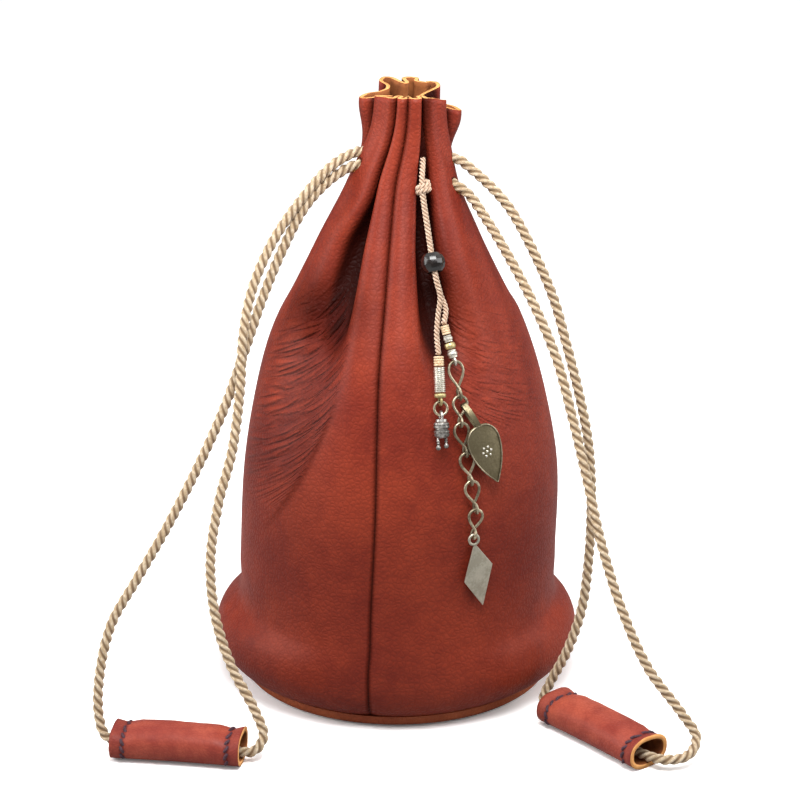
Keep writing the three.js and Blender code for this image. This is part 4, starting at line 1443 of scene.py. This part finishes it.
    @classmethod
    def plate(
        cls, name: str, outline: Array, thickness: float, bevel: float, rim: Pair
    ) -> Piece:
        """Cuts a plate that hangs in the xz plane, with its front at -y, and rounds its edges.

        Args:
            name: The piece's name.
            outline: The corners' x and z, going round.
            thickness: The plate's thickness.
            bevel: The width of its rounded edges.
            rim: The width of a raised rim and how far the field lies behind it.

        Returns:
            The plate.
        """
        front_facing, bevel_angle = -0.9, 35.0
        corners = np.column_stack([outline[:, 0], np.full(len(outline), -thickness / 2), outline[:, 1]])
        piece = cls.outlined(name, corners, "NGON")
        cls.extrude((0, thickness * MM, 0))
        for face in piece.data.polygons:
            face.select = face.normal.y < front_facing
        bpy.ops.object.mode_set(mode="EDIT")
        bpy.ops.mesh.inset(thickness=rim[0] * MM, depth=0)
        bpy.ops.transform.translate(value=(0, rim[1] * MM, 0))
        bpy.ops.object.mode_set(mode="OBJECT")
        cls.modify(piece, "BEVEL", width=bevel * MM, segments=3, limit_method="ANGLE")
        cls.smooth(bevel_angle)
        return piece

    @classmethod
    def join(cls, name: str, pieces: list[Piece]) -> Piece:
        """Joins pieces into one object, keeping their materials.

        Args:
            name: The joined piece's name.
            pieces: The pieces.

        Returns:
            The joined piece.
        """
        cls.clear()
        for piece in pieces:
            piece.select_set(True)
        bpy.context.view_layer.objects.active = pieces[0]
        if len(pieces) > 1:
            bpy.ops.object.join()
        pieces[0].name = name
        return pieces[0]

    @staticmethod
    def place(piece: Piece, matrix: Matrix) -> Piece:
        """Puts a piece into a frame given in millimetres, and applies it to the mesh.

        Args:
            piece: The piece.
            matrix: The frame.

        Returns:
            The piece.
        """
        frame_m = matrix.copy()
        frame_m.translation = matrix.translation * MM
        piece.data.transform(frame_m)
        piece.data.update()
        return piece


@dataclass
class BagBase:
    """The round leather base: a shallow pan."""

    radius: float = 60.6
    flat: float = 55.0
    height: float = 5.0
    thickness: float = 2.2
    bend: float = 3.4
    bend_steps: int = 6
    sides: int = 128

    def build(self) -> Piece:
        """Returns the base."""
        inside = self.radius - self.thickness
        turns = [math.radians(90 * i / self.bend_steps) for i in range(self.bend_steps + 1)]
        outer = [
            (self.flat + (self.radius - self.flat) * math.sin(turn), self.bend * (1 - math.cos(turn)))
            for turn in turns
        ]
        inner = [
            (inside, self.height), (inside - self.bend / 3, self.thickness + self.bend / 3),
            (self.flat - self.thickness, self.thickness), (self.flat / 2, self.thickness),
        ]
        profile = [(self.flat / 2, 0), *outer, (self.radius, self.height), *inner]
        base = Workbench.turned("bag_base_leather", profile, self.sides)
        return dress(base, [Finish.BASE], ["bag_base"])


@dataclass
class Toggle:
    """A flattened leather tube on the floor, stitched near both ends, with the drawcord through it."""

    name: str
    start: Pair
    end: Pair
    wall: float = 1.8
    squareness: float = 2.5
    sides: int = 64
    rows: int = 56
    # How far the top wanders, and how fast along and round the tube.
    wander: float = 0.35
    wander_rate: Pair = (9.0, 1.3)
    stitch_in: float = 4.2
    stitches: int = 8
    stitch_slant: float = 0.02
    thread: float = 0.6
    thread_step: float = 0.8
    # Places along a stitch as shares of its slant, and how far the thread stands out there.
    stitch_line: tuple[Pair, ...] = ((0.0, 0.7), (0.3, 1.15), (0.7, 1.15), (1.0, 0.7))
    # Shares of a turn round the tube between which its seams show: over the top and down the front.
    sewn: Pair = (0.04, 0.6)
    # The darker ends: their strength and the distances from the end between which they come in.
    end_shade: float = 0.3
    end_span: Pair = (6.0, 4.0)
    # Painted shade in the groove past the stitches: its strength, its place past the stitches and its width.
    groove: Point = (0.4, 0.5, 0.9)
    # Place along the toggle, width and height.
    sections: tuple[Point, ...] = (
        (0, 18.6, 12.4), (0.05, 18.2, 11.8), (0.085, 17.6, 11.3), (0.2, 17.8, 12.8), (0.5, 17.4, 13.3),
        (0.8, 17.8, 12.8), (0.915, 17.6, 11.3), (0.95, 18.2, 11.9), (1, 18.6, 12.6),
    )

    @property
    def length(self) -> float:
        """The toggle's length."""
        return math.dist(self.start, self.end)

    def rounded(self, shares: Array, size: float) -> Array:
        """Returns offsets from the middle of a side of a size, rounded towards a square."""
        return np.sign(shares) * np.abs(shares) ** (2 / self.squareness) * (size - self.wall) / 2

    def ring(self, at: float) -> Array:
        """Draws the middle of the tube's wall round the tube.

        Args:
            at: Where, as a share of the toggle's length.

        Returns:
            The points, going round.
        """
        start, end = np.array([*self.start, 0.0]), np.array([*self.end, 0.0])
        axis = (end - start) / np.linalg.norm(end - start)
        table = np.array(self.sections)
        width, height = (np.interp(at, table[:, 0], table[:, i]) for i in (1, 2))
        angle = np.arange(self.sides) * 2 * math.pi / self.sides
        along, around = self.wander_rate
        wander = np.array([
            noise.noise(Vector((at * along, math.cos(a) * around, math.sin(a) * around + self.start[0])))
            for a in angle
        ])
        side = self.rounded(np.cos(angle), width)
        rise = self.rounded(np.sin(angle), height) + height / 2
        rise += self.wander * wander * np.maximum(np.sin(angle), 0)
        return start + (end - start) * at + np.outer(side, np.cross(UP, axis)) + np.outer(rise, UP)

    def seams(self) -> Piece:
        """Returns the two rows of slanting stitches that close the ends."""
        shares, lift = np.array(self.stitch_line).T
        places = np.linspace(*self.sewn, self.stitches + 1) * self.sides
        inset = self.stitch_in / self.length
        threads = []
        for at, slant in ((inset, self.stitch_slant), (1 - inset, -self.stitch_slant)):
            near, far = self.ring(at), self.ring(at + slant)
            for i, (low, high) in enumerate(zip(places[:-1], places[1:])):
                along = np.round(np.linspace(low + 0.5, high - 0.5, len(shares))).astype(int) % self.sides
                line = lerp(near[along], far[along], shares[:, None])
                outward = line - near.mean(axis=0)
                outward /= np.linalg.norm(outward, axis=1, keepdims=True)
                line = line + lift[:, None] * outward
                threads.append(
                    Workbench.wire(f"{self.name}_stitch_{i}", line, self.thread, False, self.thread_step)
                )
        return Workbench.join(f"{self.name}_stitches", threads)

    def build(self) -> list[Piece]:
        """Returns the toggle and its stitches."""
        places = np.linspace(0, 1, self.rows)
        rows = np.array([self.ring(at) for at in places])
        axis = rows[-1].mean(axis=0) - rows[0].mean(axis=0)
        tube = mesh_object(f"{self.name}_tube", *thick_wall(rows, self.wall, axis / np.linalg.norm(axis)))
        from_end = np.minimum(places, places[::-1]) * self.length
        strength, past, width = self.groove
        # The ends are darker, and the groove past the stitches gets painted shade.
        worn = self.end_shade * smoothstep(from_end, *self.end_span)
        worn = worn + strength * bell((from_end - self.stitch_in - past) / width)
        set_points(tube, "fold", np.tile(np.repeat(worn, self.sides), 2))
        dress(tube, [Finish.TOGGLE, Finish.FLESH, Finish.EDGE], [self.name])
        return [tube, dress(self.seams(), [Finish.STITCH], [])]


def wound(turns: int, turn: tuple[Pair, ...]) -> tuple[Pair, ...]:
    """Repeats one turn's profile along a bead.

    Args:
        turns: The number of turns.
        turn: The turn's radii as shares of the bead's, and their places as shares of the turn.

    Returns:
        The radii and their places as shares of the bead, closed with the first radius.
    """
    return tuple((reach, (i + at) / turns) for i in range(turns) for reach, at in turn) + ((turn[0][0], 1.0),)


class BeadStyle(Enum):
    """Bead profiles from the bottom up, as shares of the bead's radius and length."""

    WHIPPED = wound(4, ((0.8, 0.0), (0.97, 0.2), (1.0, 0.5), (0.97, 0.8)))
    COILED = wound(13, ((0.84, 0.0), (0.99, 0.3), (0.99, 0.7)))
    RING = ((0.8, 0.0), (0.94, 0.12), (1.0, 0.38), (1.0, 0.62), (0.94, 0.88), (0.8, 1.0))
    BARREL = (
        (0.74, 0.0), (0.9, 0.08), (0.9, 0.2), (0.8, 0.24), (0.97, 0.34), (1.0, 0.5), (0.97, 0.66),
        (0.8, 0.76), (0.9, 0.8), (0.9, 0.92), (0.74, 1.0),
    )


@dataclass(frozen=True)
class Bead:
    """A bead on a charm end."""

    name: str
    length: float
    radius: float
    style: BeadStyle
    slot: str
    finish: Finish
    sides: int = 28

    def build(self, top: float) -> Piece:
        """Returns the bead, hanging from its top at a height."""
        profile = [(reach * self.radius, top - self.length * (1 - at)) for reach, at in self.style.value]
        return Workbench.turned(f"{self.name}_shape", profile, self.sides)


@dataclass
class Charm:
    """The hanging charm: two thin cords with a knot, a dark bead, two beaded ends, a chain and pendants."""

    lay: CordLay = CordLay(radius=1.1, strands=3, lay=4.6, step=0.36, sides=20)
    pair_half: float = 1.25
    hang_out: float = 3.4
    seat: float = 0.3
    eye: Pair = (1.45, 0.5)
    jump_ring: Pair = (2.5, 0.5)
    link_wire: float = 0.55
    chain_out: float = 2.7
    plate: float = 0.9
    bead_radius: float = 4.6
    bead_bore: float = 2.9
    bead_half: float = 3.5

    # x, height and how far outside the outline.
    LOOP = ((9.9, 210.8, -1.6), (9.8, 208.6, 0), (9.6, 205.6, 2.2))
    TRUNK = (
        (9.6, 201.5, 2.6), (10.5, 195, 3), (11.7, 187.5, 3.2), (13.6, 176.5, 4.4), (14.9, 170.5, 3.8),
        (16.3, 164.8, 2.2),
    )
    LEFT_FALL = ((15.5, 158, 1.4), (15, 151.5, 1.6))
    RIGHT_FALL = ((18.2, 160, 1.8),)
    LEFT_LINE = ((15.6, 145), (16.4, 127))
    RIGHT_LINE = ((17.7, 155), (21.9, 141))
    LEFT_BEADS = (
        Bead("charm_whipping_left", 3.6, 1.9, BeadStyle.WHIPPED, "thread", Finish.THREAD),
        Bead("tube_bead", 9.4, 2.1, BeadStyle.COILED, "silver", Finish.SILVER),
        Bead("brass_ring", 1.7, 2.2, BeadStyle.RING, "brass", Finish.BRASS),
    )
    RIGHT_BEADS = (
        Bead("charm_whipping_right", 3.4, 1.6, BeadStyle.WHIPPED, "thread", Finish.THREAD),
        Bead("bead_upper", 2.7, 1.75, BeadStyle.BARREL, "silver", Finish.SILVER),
        Bead("bead_brass", 2.2, 2.1, BeadStyle.RING, "brass", Finish.BRASS),
        Bead("bead_lower", 3.2, 1.9, BeadStyle.BARREL, "silver", Finish.SILVER),
    )
    # Radius and distance below the top of the drum, and x and length of its drops.
    DRUM = (
        (1.3, 7.2), (2.0, 7.0), (2.7, 6.4), (2.9, 5.5), (2.6, 5.3), (2.6, 5.1), (2.9, 4.9), (2.9, 4.5),
        (2.3, 4.0), (2.3, 3.7), (2.9, 3.3), (2.9, 2.6), (2.6, 2.45), (2.6, 2.25), (2.9, 2.1), (2.8, 1.6),
        (2.1, 1.1), (2.0, 0.2), (1.3, 0.0),
    )
    DROPS = ((-1.5, 4.4), (1.5, 3.8))
    # A drop's ball and the turns of its profile, the radii of the beads above it, their first height and
    # their pitch, and the radius of its shank with how far that goes up into the drum.
    DROP_BALL, DROP_TURNS = 0.95, range(20, 150, 26)
    DROP_BEADS, DROP_BEADS_AT, DROP_PITCH = (0.45, 0.72, 0.45, 0.72, 0.45), 2.0, 0.45
    DROP_SHANK, DROP_SUNK = 0.5, 1.6
    DRUM_SIDES, DROP_SIDES = 28, 12
    # The knot's coil: its turns, points and half sizes, how far it lies aside, its two heights and its tilt.
    KNOT_TURNS, KNOT_POINTS, KNOT_HALF = 2.2, 30, (1.9, 2.6)
    KNOT_ASIDE, KNOT_HEIGHTS, KNOT_TILT = 0.5, (1.5, -1.7), 0.8
    # The dark bead's facets round it and up it, its soft edges, and the least angles in degrees that are
    # softened and that stay sharp.
    BEAD_FACETS, BEAD_STEPS, BEAD_SOFT, BEAD_SOFT_FROM, BEAD_SHARP_FROM = 12, 6, 0.16, 12.0, 10.0
    CHAIN_JOINTS = ((23.5, 129.6), (23.7, 120), (25.8, 109), (27.7, 98.4), (29.7, 87.6), (28.7, 78.2))
    # Half outline of a link from its round top to its narrow eye: share of the length and half width.
    LINK = ((0.06, 1.9), (0.2, 2.8), (0.36, 2.5), (0.6, 1.0), (0.72, 1.1), (0.85, 1.6), (0.955, 1.25))
    LINK_TURN = (0.5, 0.75)
    # The link that the leaf hangs on, counted from 0.
    LEAF_LINK = 1
    LEAF_TOP, LEAF_TIP, LEAF_OUT = (29.9, 119.6), (37.5, 97.6), 4.8
    LEAF_HALF, LEAF_SHOULDER, LEAF_STEPS = 6.6, 7.5, 14
    # The leaf's soft edge, its rim's width and how deep its field lies, and the pale wire on the rim that
    # stands
    # as a painted highlight: its radius and step, and the share by which it lies inside the outline, towards
    # a share of the length.
    LEAF_SOFT, LEAF_RIM, LEAF_FIELD = 0.22, 0.75, 0.22
    RIM_WIRE, RIM_STEP, RIM_INSIDE, RIM_TOWARDS = 0.24, 0.6, 0.03, 0.42
    DOTS, DOT_PITCH, DOT_RADIUS, DOT_RISE, DOT_DROP = 6, 1.75, 0.5, 0.3, 10.5
    BAIL_AT, BAIL_HALF, BAIL_PAST, BAIL_DEPTH = 0.4, 2.2, 2.1, 2.4
    BAIL_STRIP, BAIL_WIDTH, BAIL_SUNK, BAIL_STEPS = 0.5, 2.0, 1.0, 40
    DIAMOND_BELOW, DIAMOND_LOOP, DIAMOND_LENGTH, DIAMOND_HALF = (32.5, 50), 1.9, 25.3, 6.1
    DIAMOND_RIGHT, DIAMOND_LEFT, DIAMOND_SOFT, DIAMOND_RIM = 0.4, 0.56, 0.25, (0.7, 0.12)

    @property
    def joint_half(self) -> float:
        """The distance from a joint to the middle of each wire that meets there."""
        return self.link_wire + GAP / 2

    def line_frame(self, line: Line) -> Matrix:
        """Returns the frame of a beaded end."""
        return SHAPE.hanging_frame(*(SHAPE.on_front(x, z, self.hang_out) for x, z in line))

    def run(self, rows: tuple[Point, ...], shift: float) -> list[Array]:
        """Returns the points of a stretch of cord, moved away from the wall."""
        return [SHAPE.on_front(x, z, out + shift) for x, z, out in rows]

    def cords(self) -> None:
        """Makes the two thin cords."""
        tops = [np.array(self.line_frame(line)) for line in (self.LEFT_LINE, self.RIGHT_LINE)]
        ends = [top[:3, 3] + top[:3, 2] * 2 * GAP for top in tops]
        left = [*self.run(self.LOOP, 0), *self.run(self.TRUNK, self.pair_half), *self.run(self.LEFT_FALL, 0)]
        right = [*self.run(self.TRUNK, -self.pair_half), *self.run(self.RIGHT_FALL, 0)]
        for name, route, end in zip(("charm_cord_left", "charm_cord_right"), (left, right), ends):
            cord, line = self.lay.tube(f"{name}_twist", np.array([*route, end]))
            dress(cord, [Finish.CHARM_CORD], [name])
            self.lay.declare(cord, line, 4)

    def knot(self) -> None:
        """Makes the knot that gathers the two cords."""
        top, below = self.run(self.TRUNK, 0)[:2]
        angle = np.linspace(0, 2 * np.pi * self.KNOT_TURNS, self.KNOT_POINTS)
        height = lerp(*self.KNOT_HEIGHTS, np.linspace(0, 1, self.KNOT_POINTS))
        wide, deep = self.KNOT_HALF
        coil = np.column_stack([
            wide * np.cos(angle) + self.KNOT_ASIDE,
            deep * np.sin(angle),
            height + self.KNOT_TILT * np.cos(angle),
        ])
        piece, _ = self.lay.tube("charm_knot_coil", through(SHAPE.hanging_frame(top, below), coil))
        dress(piece, [Finish.CHARM_CORD], ["charm_knot"])

    def dark_bead(self) -> None:
        """Makes the dark faceted bead on the two cords."""
        trunk = self.run(self.TRUNK, 0)
        bore, half = self.bead_bore, self.bead_half
        tilt = math.asin(half / self.bead_radius)
        turns = np.linspace(-tilt, tilt, self.BEAD_STEPS)
        outside = [(self.bead_radius * math.cos(a), self.bead_radius * math.sin(a)) for a in turns]
        profile = [(bore, -half), *outside, (bore, half), (bore, -half)]
        bead = Workbench.turned("charm_bead_facets", profile, self.BEAD_FACETS, bored=True)
        Workbench.modify(
            bead, "BEVEL", width=self.BEAD_SOFT * MM, segments=2, limit_method="ANGLE",
            angle_limit=math.radians(self.BEAD_SOFT_FROM),
        )
        Workbench.smooth(self.BEAD_SHARP_FROM)
        frame_mm = SHAPE.hanging_frame(trunk[2], trunk[4])
        frame_mm.translation = Vector(trunk[3])
        Workbench.place(bead, frame_mm)
        dress(bead, [Finish.BEAD], ["charm_bead"])

    def beads(self, line: Line, beads: tuple[Bead, ...]) -> tuple[Matrix, float]:
        """Makes the beads of one end, the last one with an eye.

        Args:
            line: The upper and lower point of the line that they hang on, as x and height.
            beads: The beads from the top down.

        Returns:
            The line's frame and the height of the middle of the eye's lowest wire.
        """
        frame_mm, top = self.line_frame(line), 0.0
        for bead in beads:
            pieces = [bead.build(top)]
            top -= bead.length
            if bead is beads[-1]:
                middle = top + self.seat - self.eye[0]
                pieces.append(Workbench.ring(f"{bead.name}_eye", *self.eye, False, middle))
            piece = Workbench.place(Workbench.join(f"{bead.name}_shape", pieces), frame_mm)
            dress(piece, [bead.finish], [bead.name])
            top -= GAP
        return frame_mm, top + GAP + self.seat - 2 * self.eye[0]

    def drop(self, place: int, bottom: float) -> Piece:
        """Makes one of the drum's drops.

        Args:
            place: The drop's number.
            bottom: The height of the drum's lower end.

        Returns:
            The drop.
        """
        x, length = self.DROPS[place]
        tip, radius = bottom - length, self.DROP_BALL
        ball = [
            (radius * math.sin(turn), tip + radius * (1 - math.cos(turn)))
            for turn in map(math.radians, self.DROP_TURNS)
        ]
        beads = [(r, tip + self.DROP_BEADS_AT + self.DROP_PITCH * k) for k, r in enumerate(self.DROP_BEADS)]
        profile = [*ball, *beads, (self.DROP_SHANK, bottom + self.DROP_SUNK)]
        drop = Workbench.turned(f"drum_drop_{place}", profile, self.DROP_SIDES)
        return Workbench.place(drop, Matrix.Translation((x, 0, 0)))

    def drum(self, frame_mm: Matrix, eye_z: float) -> None:
        """Makes the jump ring and the drum with its two drops.

        Args:
            frame_mm: The frame of the left end.
            eye_z: The height of the lowest wire of the eye that it hangs from.
        """
        play = self.eye[1] + self.jump_ring[1] + GAP
        ring_top = eye_z + play
        ring = Workbench.ring("jump_ring_wire", *self.jump_ring, True, ring_top - self.jump_ring[0])
        dress(Workbench.place(ring, frame_mm), [Finish.WIRE], ["jump_ring"])
        eye_top = ring_top - 2 * self.jump_ring[0] + play
        top = eye_top - 2 * self.eye[0] + self.seat
        profile = [(radius, top - drop) for radius, drop in self.DRUM]
        pieces = [
            Workbench.turned("drum_body", profile, self.DRUM_SIDES),
            Workbench.ring("drum_eye", *self.eye, False, eye_top - self.eye[0]),
            *(self.drop(i, profile[0][1]) for i in range(len(self.DROPS))),
        ]
        drum = Workbench.place(Workbench.join("drum_charm_shape", pieces), frame_mm)
        dress(drum, [Finish.DARK_SILVER], ["drum_charm"])

    def on_link(self, at: float, half: float, length: float) -> Array:
        """Returns a place on a link's wire, at a share of its length and a distance to one side."""
        turn = math.pi / 2 * smoothstep(at, *self.LINK_TURN)
        return np.array([half * math.cos(turn), half * math.sin(turn), self.joint_half - at * length])

    def chain(self, frame_mm: Matrix, eye_z: float) -> None:
        """Makes the chain and what hangs on it.

        Args:
            frame_mm: The frame of the right end.
            eye_z: The height of the lowest wire of the eye that it hangs from.
        """
        first = through(frame_mm, np.array([0, 0, eye_z + self.joint_half]))
        joints = [first, *(SHAPE.on_front(x, z, self.chain_out) for x, z in self.CHAIN_JOINTS)]
        for i, (upper, lower) in enumerate(zip(joints[:-1], joints[1:])):
            link_frame = SHAPE.hanging_frame(upper, lower)
            length = float(np.linalg.norm(upper - lower)) + 2 * self.joint_half
            right = [self.on_link(at, half, length) for at, half in self.LINK]
            left = [self.on_link(at, -half, length) for at, half in self.LINK]
            top, bottom = (np.array([0, 0, self.joint_half - drop]) for drop in (0, length))
            line = np.array([top, *right, bottom, *left[::-1]])
            wire = Workbench.wire(f"chain_link_{i + 1}_wire", line, self.link_wire, True)
            dress(Workbench.place(wire, link_frame), [Finish.WIRE], [f"chain_link_{i + 1}"])
            if i == self.LEAF_LINK:
                self.leaf(through(link_frame, self.on_link(self.BAIL_AT, self.BAIL_HALF, length)))
        self.diamond(joints[-1])

    def leaf_outline(self, length: float) -> Array:
        """Draws the leaf's outline.

        Args:
            length: The leaf's length.

        Returns:
            The x and z of its points below its top, going round.
        """
        half, shoulder = self.LEAF_HALF, self.LEAF_SHOULDER
        t = np.linspace(0, 1, self.LEAF_STEPS, endpoint=False)[:, None]
        curves = np.array([
            ((0, 0), (half * 0.7, 0.4), (half * 1.05, -shoulder * 0.45), (half, -shoulder)),
            ((half, -shoulder), (half * 0.95, -shoulder * 1.9), (half * 0.42, -length * 0.84), (0, -length)),
        ])
        right = np.concatenate([
            (1 - t) ** 3 * a + 3 * t * (1 - t) ** 2 * b + 3 * t**2 * (1 - t) * c + t**3 * d
            for a, b, c, d in curves
        ])
        return np.concatenate([right, [[0, -length]], (right * [-1, 1])[:0:-1]])

    def leaf_plate(self, length: float) -> Piece:
        """Makes the leaf's plate with its rim, a pale wire along the rim as a painted highlight, and its
        punched dots.

        Args:
            length: The leaf's length.

        Returns:
            The plate, hanging from the origin.
        """
        outline, front = self.leaf_outline(length), -self.plate / 2
        border = (self.LEAF_RIM, self.LEAF_FIELD)
        plate = Workbench.plate("leaf_plate", outline, self.plate, self.LEAF_SOFT, border)
        edge = np.column_stack([outline[:, 0], np.full(len(outline), front), outline[:, 1]])
        edge[:, [0, 2]] -= (edge[:, [0, 2]] - [0, -length * self.RIM_TOWARDS]) * self.RIM_INSIDE
        pieces = [give_finishes(plate, Finish.PLATE)]
        # A pale wire on the rim, a painted highlight along the plate's edge.
        rim = Workbench.wire("leaf_rim_highlight", edge[::2], self.RIM_WIRE, True, self.RIM_STEP)
        pieces.append(give_finishes(rim, Finish.WIRE))
        turns = [k * math.tau / self.DOTS for k in range(self.DOTS)]
        spots = [(self.DOT_PITCH * math.cos(turn), self.DOT_PITCH * math.sin(turn)) for turn in turns]
        for k, (x, z) in enumerate([(0.0, 0.0), *spots]):
            place = (x, self.LEAF_FIELD + front, z - self.DOT_DROP)
            dot = Workbench.dome(f"leaf_dot_{k}", place, self.DOT_RADIUS, self.DOT_RISE)
            pieces.append(give_finishes(dot, Finish.SILVER))
        return Workbench.place(Workbench.join("leaf_plate", pieces), Matrix.Translation((0, front, 0)))

    def leaf(self, wire: Array) -> None:
        """Makes the leaf plate and the strip that hangs it.

        Args:
            wire: The place on the link that the strip goes round.
        """
        top, tip = (SHAPE.on_front(*place, self.LEAF_OUT) for place in (self.LEAF_TOP, self.LEAF_TIP))
        plate = self.leaf_plate(float(np.linalg.norm(top - tip)))
        Workbench.place(plate, SHAPE.hanging_frame(top, tip))
        reach = float(np.linalg.norm(wire - top)) + self.BAIL_SUNK
        middle, tall = (self.BAIL_PAST - reach) / 2, (self.BAIL_PAST + reach - self.BAIL_STRIP) / 2
        angle = np.linspace(0, 2 * np.pi, self.BAIL_STEPS, endpoint=False)
        deep = self.BAIL_DEPTH - self.BAIL_STRIP / 2
        loop = np.column_stack([deep * np.cos(angle), middle + tall * np.sin(angle)])
        bail = Workbench.strip("leaf_bail", loop, self.BAIL_WIDTH, self.BAIL_STRIP)
        give_finishes(bail, Finish.PLATE)
        Workbench.place(bail, SHAPE.hanging_frame(wire, top))
        leaf = Workbench.join("leaf_pendant_shape", [plate, bail])
        dress(leaf, [], ["leaf_pendant"])

    def diamond(self, joint: Array) -> None:
        """Makes the diamond plate with its loop.

        Args:
            joint: The chain's last joint.
        """
        loop_z = self.joint_half - self.DIAMOND_LOOP
        top = loop_z - self.DIAMOND_LOOP + 2 * self.seat
        left, right = (top - share * self.DIAMOND_LENGTH for share in (self.DIAMOND_LEFT, self.DIAMOND_RIGHT))
        half = self.DIAMOND_HALF
        outline = np.array([(0, top), (-half, left), (0, top - self.DIAMOND_LENGTH), (half, right)])
        pieces = [
            Workbench.plate("diamond_plate", outline, self.plate, self.DIAMOND_SOFT, self.DIAMOND_RIM),
            Workbench.ring("diamond_loop", self.DIAMOND_LOOP, self.link_wire, True, loop_z),
        ]
        frame_mm = SHAPE.hanging_frame(joint, SHAPE.on_front(*self.DIAMOND_BELOW, self.chain_out))
        piece = Workbench.place(Workbench.join("diamond_pendant_shape", pieces), frame_mm)
        dress(piece, [Finish.PALE_PLATE], ["diamond_pendant"])

    def build(self) -> None:
        """Makes the whole charm."""
        self.cords()
        self.knot()
        self.dark_bead()
        self.drum(*self.beads(self.LEFT_LINE, self.LEFT_BEADS))
        self.chain(*self.beads(self.RIGHT_LINE, self.RIGHT_BEADS))


@dataclass
class Studio:
    """The floor, the lights and the camera at the photograph's viewing angle."""

    eye: Point = (0.0015, -1.020, 0.476)
    pitch: float = 19.7
    focal_px: float = 2806.0
    frame_px: float = 800.0
    sensor: float = 36.0
    near: float = 0.01
    floor: float = 6.0
    sky: float = 0.22
    # The floor's brightness and glow where the camera sees it, and its brightness for all other light.
    floor_white: float = 1.24
    floor_glow: float = 0.07
    floor_dull: float = 0.4
    # Name, place, length of a side and watts of each lamp, and the point that all of them look at.
    lamps: tuple[tuple[str, Point, float, float], ...] = (
        ("ceiling_lamp", (0, 0.3, 2.6), 6.0, 82.0),
        ("front_lamp", (0.02, -0.25, 0.5), 0.25, 2.6),
        ("left_lamp", (-0.95, -0.15, 0.45), 0.8, 8.0),
        ("right_lamp", (0.95, -0.05, 0.5), 0.8, 6.5),
    )
    lit: Point = (0, 0, 0.1)

    def camera(self) -> None:
        """Makes the camera."""
        data = bpy.data.cameras.new("camera")
        data.sensor_width = self.sensor
        data.lens = self.focal_px / self.frame_px * self.sensor
        data.clip_start = self.near
        camera = bpy.data.objects.new("camera", data)
        camera.location = self.eye
        camera.rotation_euler = (math.radians(90 - self.pitch), 0, 0)
        bpy.context.scene.collection.objects.link(camera)
        bpy.context.scene.camera = camera

    def build(self) -> None:
        """Makes the floor, the sky and the lamps."""
        floor = Workbench.primitive("studio_floor", bpy.ops.mesh.primitive_plane_add, size=2 * self.floor)
        floor.data.materials.append(self.pale_floor())
        scene = bpy.context.scene
        scene.world = bpy.data.worlds.new("studio_sky")
        scene.world.use_nodes = True
        tree = scene.world.node_tree
        Graph(tree).plug(tree.nodes["Background"], {"Color": WHITE, "Strength": self.sky})
        scene.view_settings.view_transform = "Standard"
        for name, place, size, watts in self.lamps:
            data = bpy.data.lights.new(name, "AREA")
            data.size, data.energy = size, watts
            lamp = bpy.data.objects.new(name, data)
            lamp.location = place
            lamp.visible_camera = False
            lamp.rotation_euler = (Vector(self.lit) - Vector(place)).to_track_quat("-Z", "Y").to_euler()
            scene.collection.objects.link(lamp)

    def pale_floor(self) -> bpy.types.Material:
        """Returns the floor's material, which looks white and throws little light back up."""
        material, graph, shader = start_material("pale_floor")
        graph.plug(shader, {
            "Base Color": (*[self.floor_white] * 3, 1),
            "Roughness": 0.9,
            "Specular IOR Level": 0.0,
            "Emission Color": WHITE,
            "Emission Strength": self.floor_glow,
        })
        dull = graph.add("BsdfDiffuse", {"Color": (*[self.floor_dull] * 3, 1)}).outputs[0]
        seen = graph.add("LightPath").outputs["Is Camera Ray"]
        both = graph.add("MixShader", {0: seen, 1: dull, 2: shader.outputs[0]}).outputs[0]
        graph.plug(graph.tree.nodes["Material Output"], {"Surface": both})
        return material


def main() -> None:
    """Builds the bag piece by piece."""
    logging.basicConfig(level=logging.INFO, format="%(message)s")
    studio = Studio()
    studio.camera()
    cords = [Drawcord(Side.LEFT), Drawcord(Side.RIGHT)]
    toggles = [
        Toggle("toggle_left", (-104.5, -80.4), (-56.5, -87.6)),
        Toggle("toggle_right", (60.5, -52), (93, -91.9)),
    ]
    for cord, toggle in zip(cords, toggles):
        rope, line = cord.build()
        cord.lay.declare(rope, line, 3, with_pieces=toggle.build())
    wall = BagWall()
    wall.dress(wall.build([cord.route() for cord in cords]))
    BagBase().build()
    Charm().build()
    studio.build()


if __name__ == "__main__":
    main()
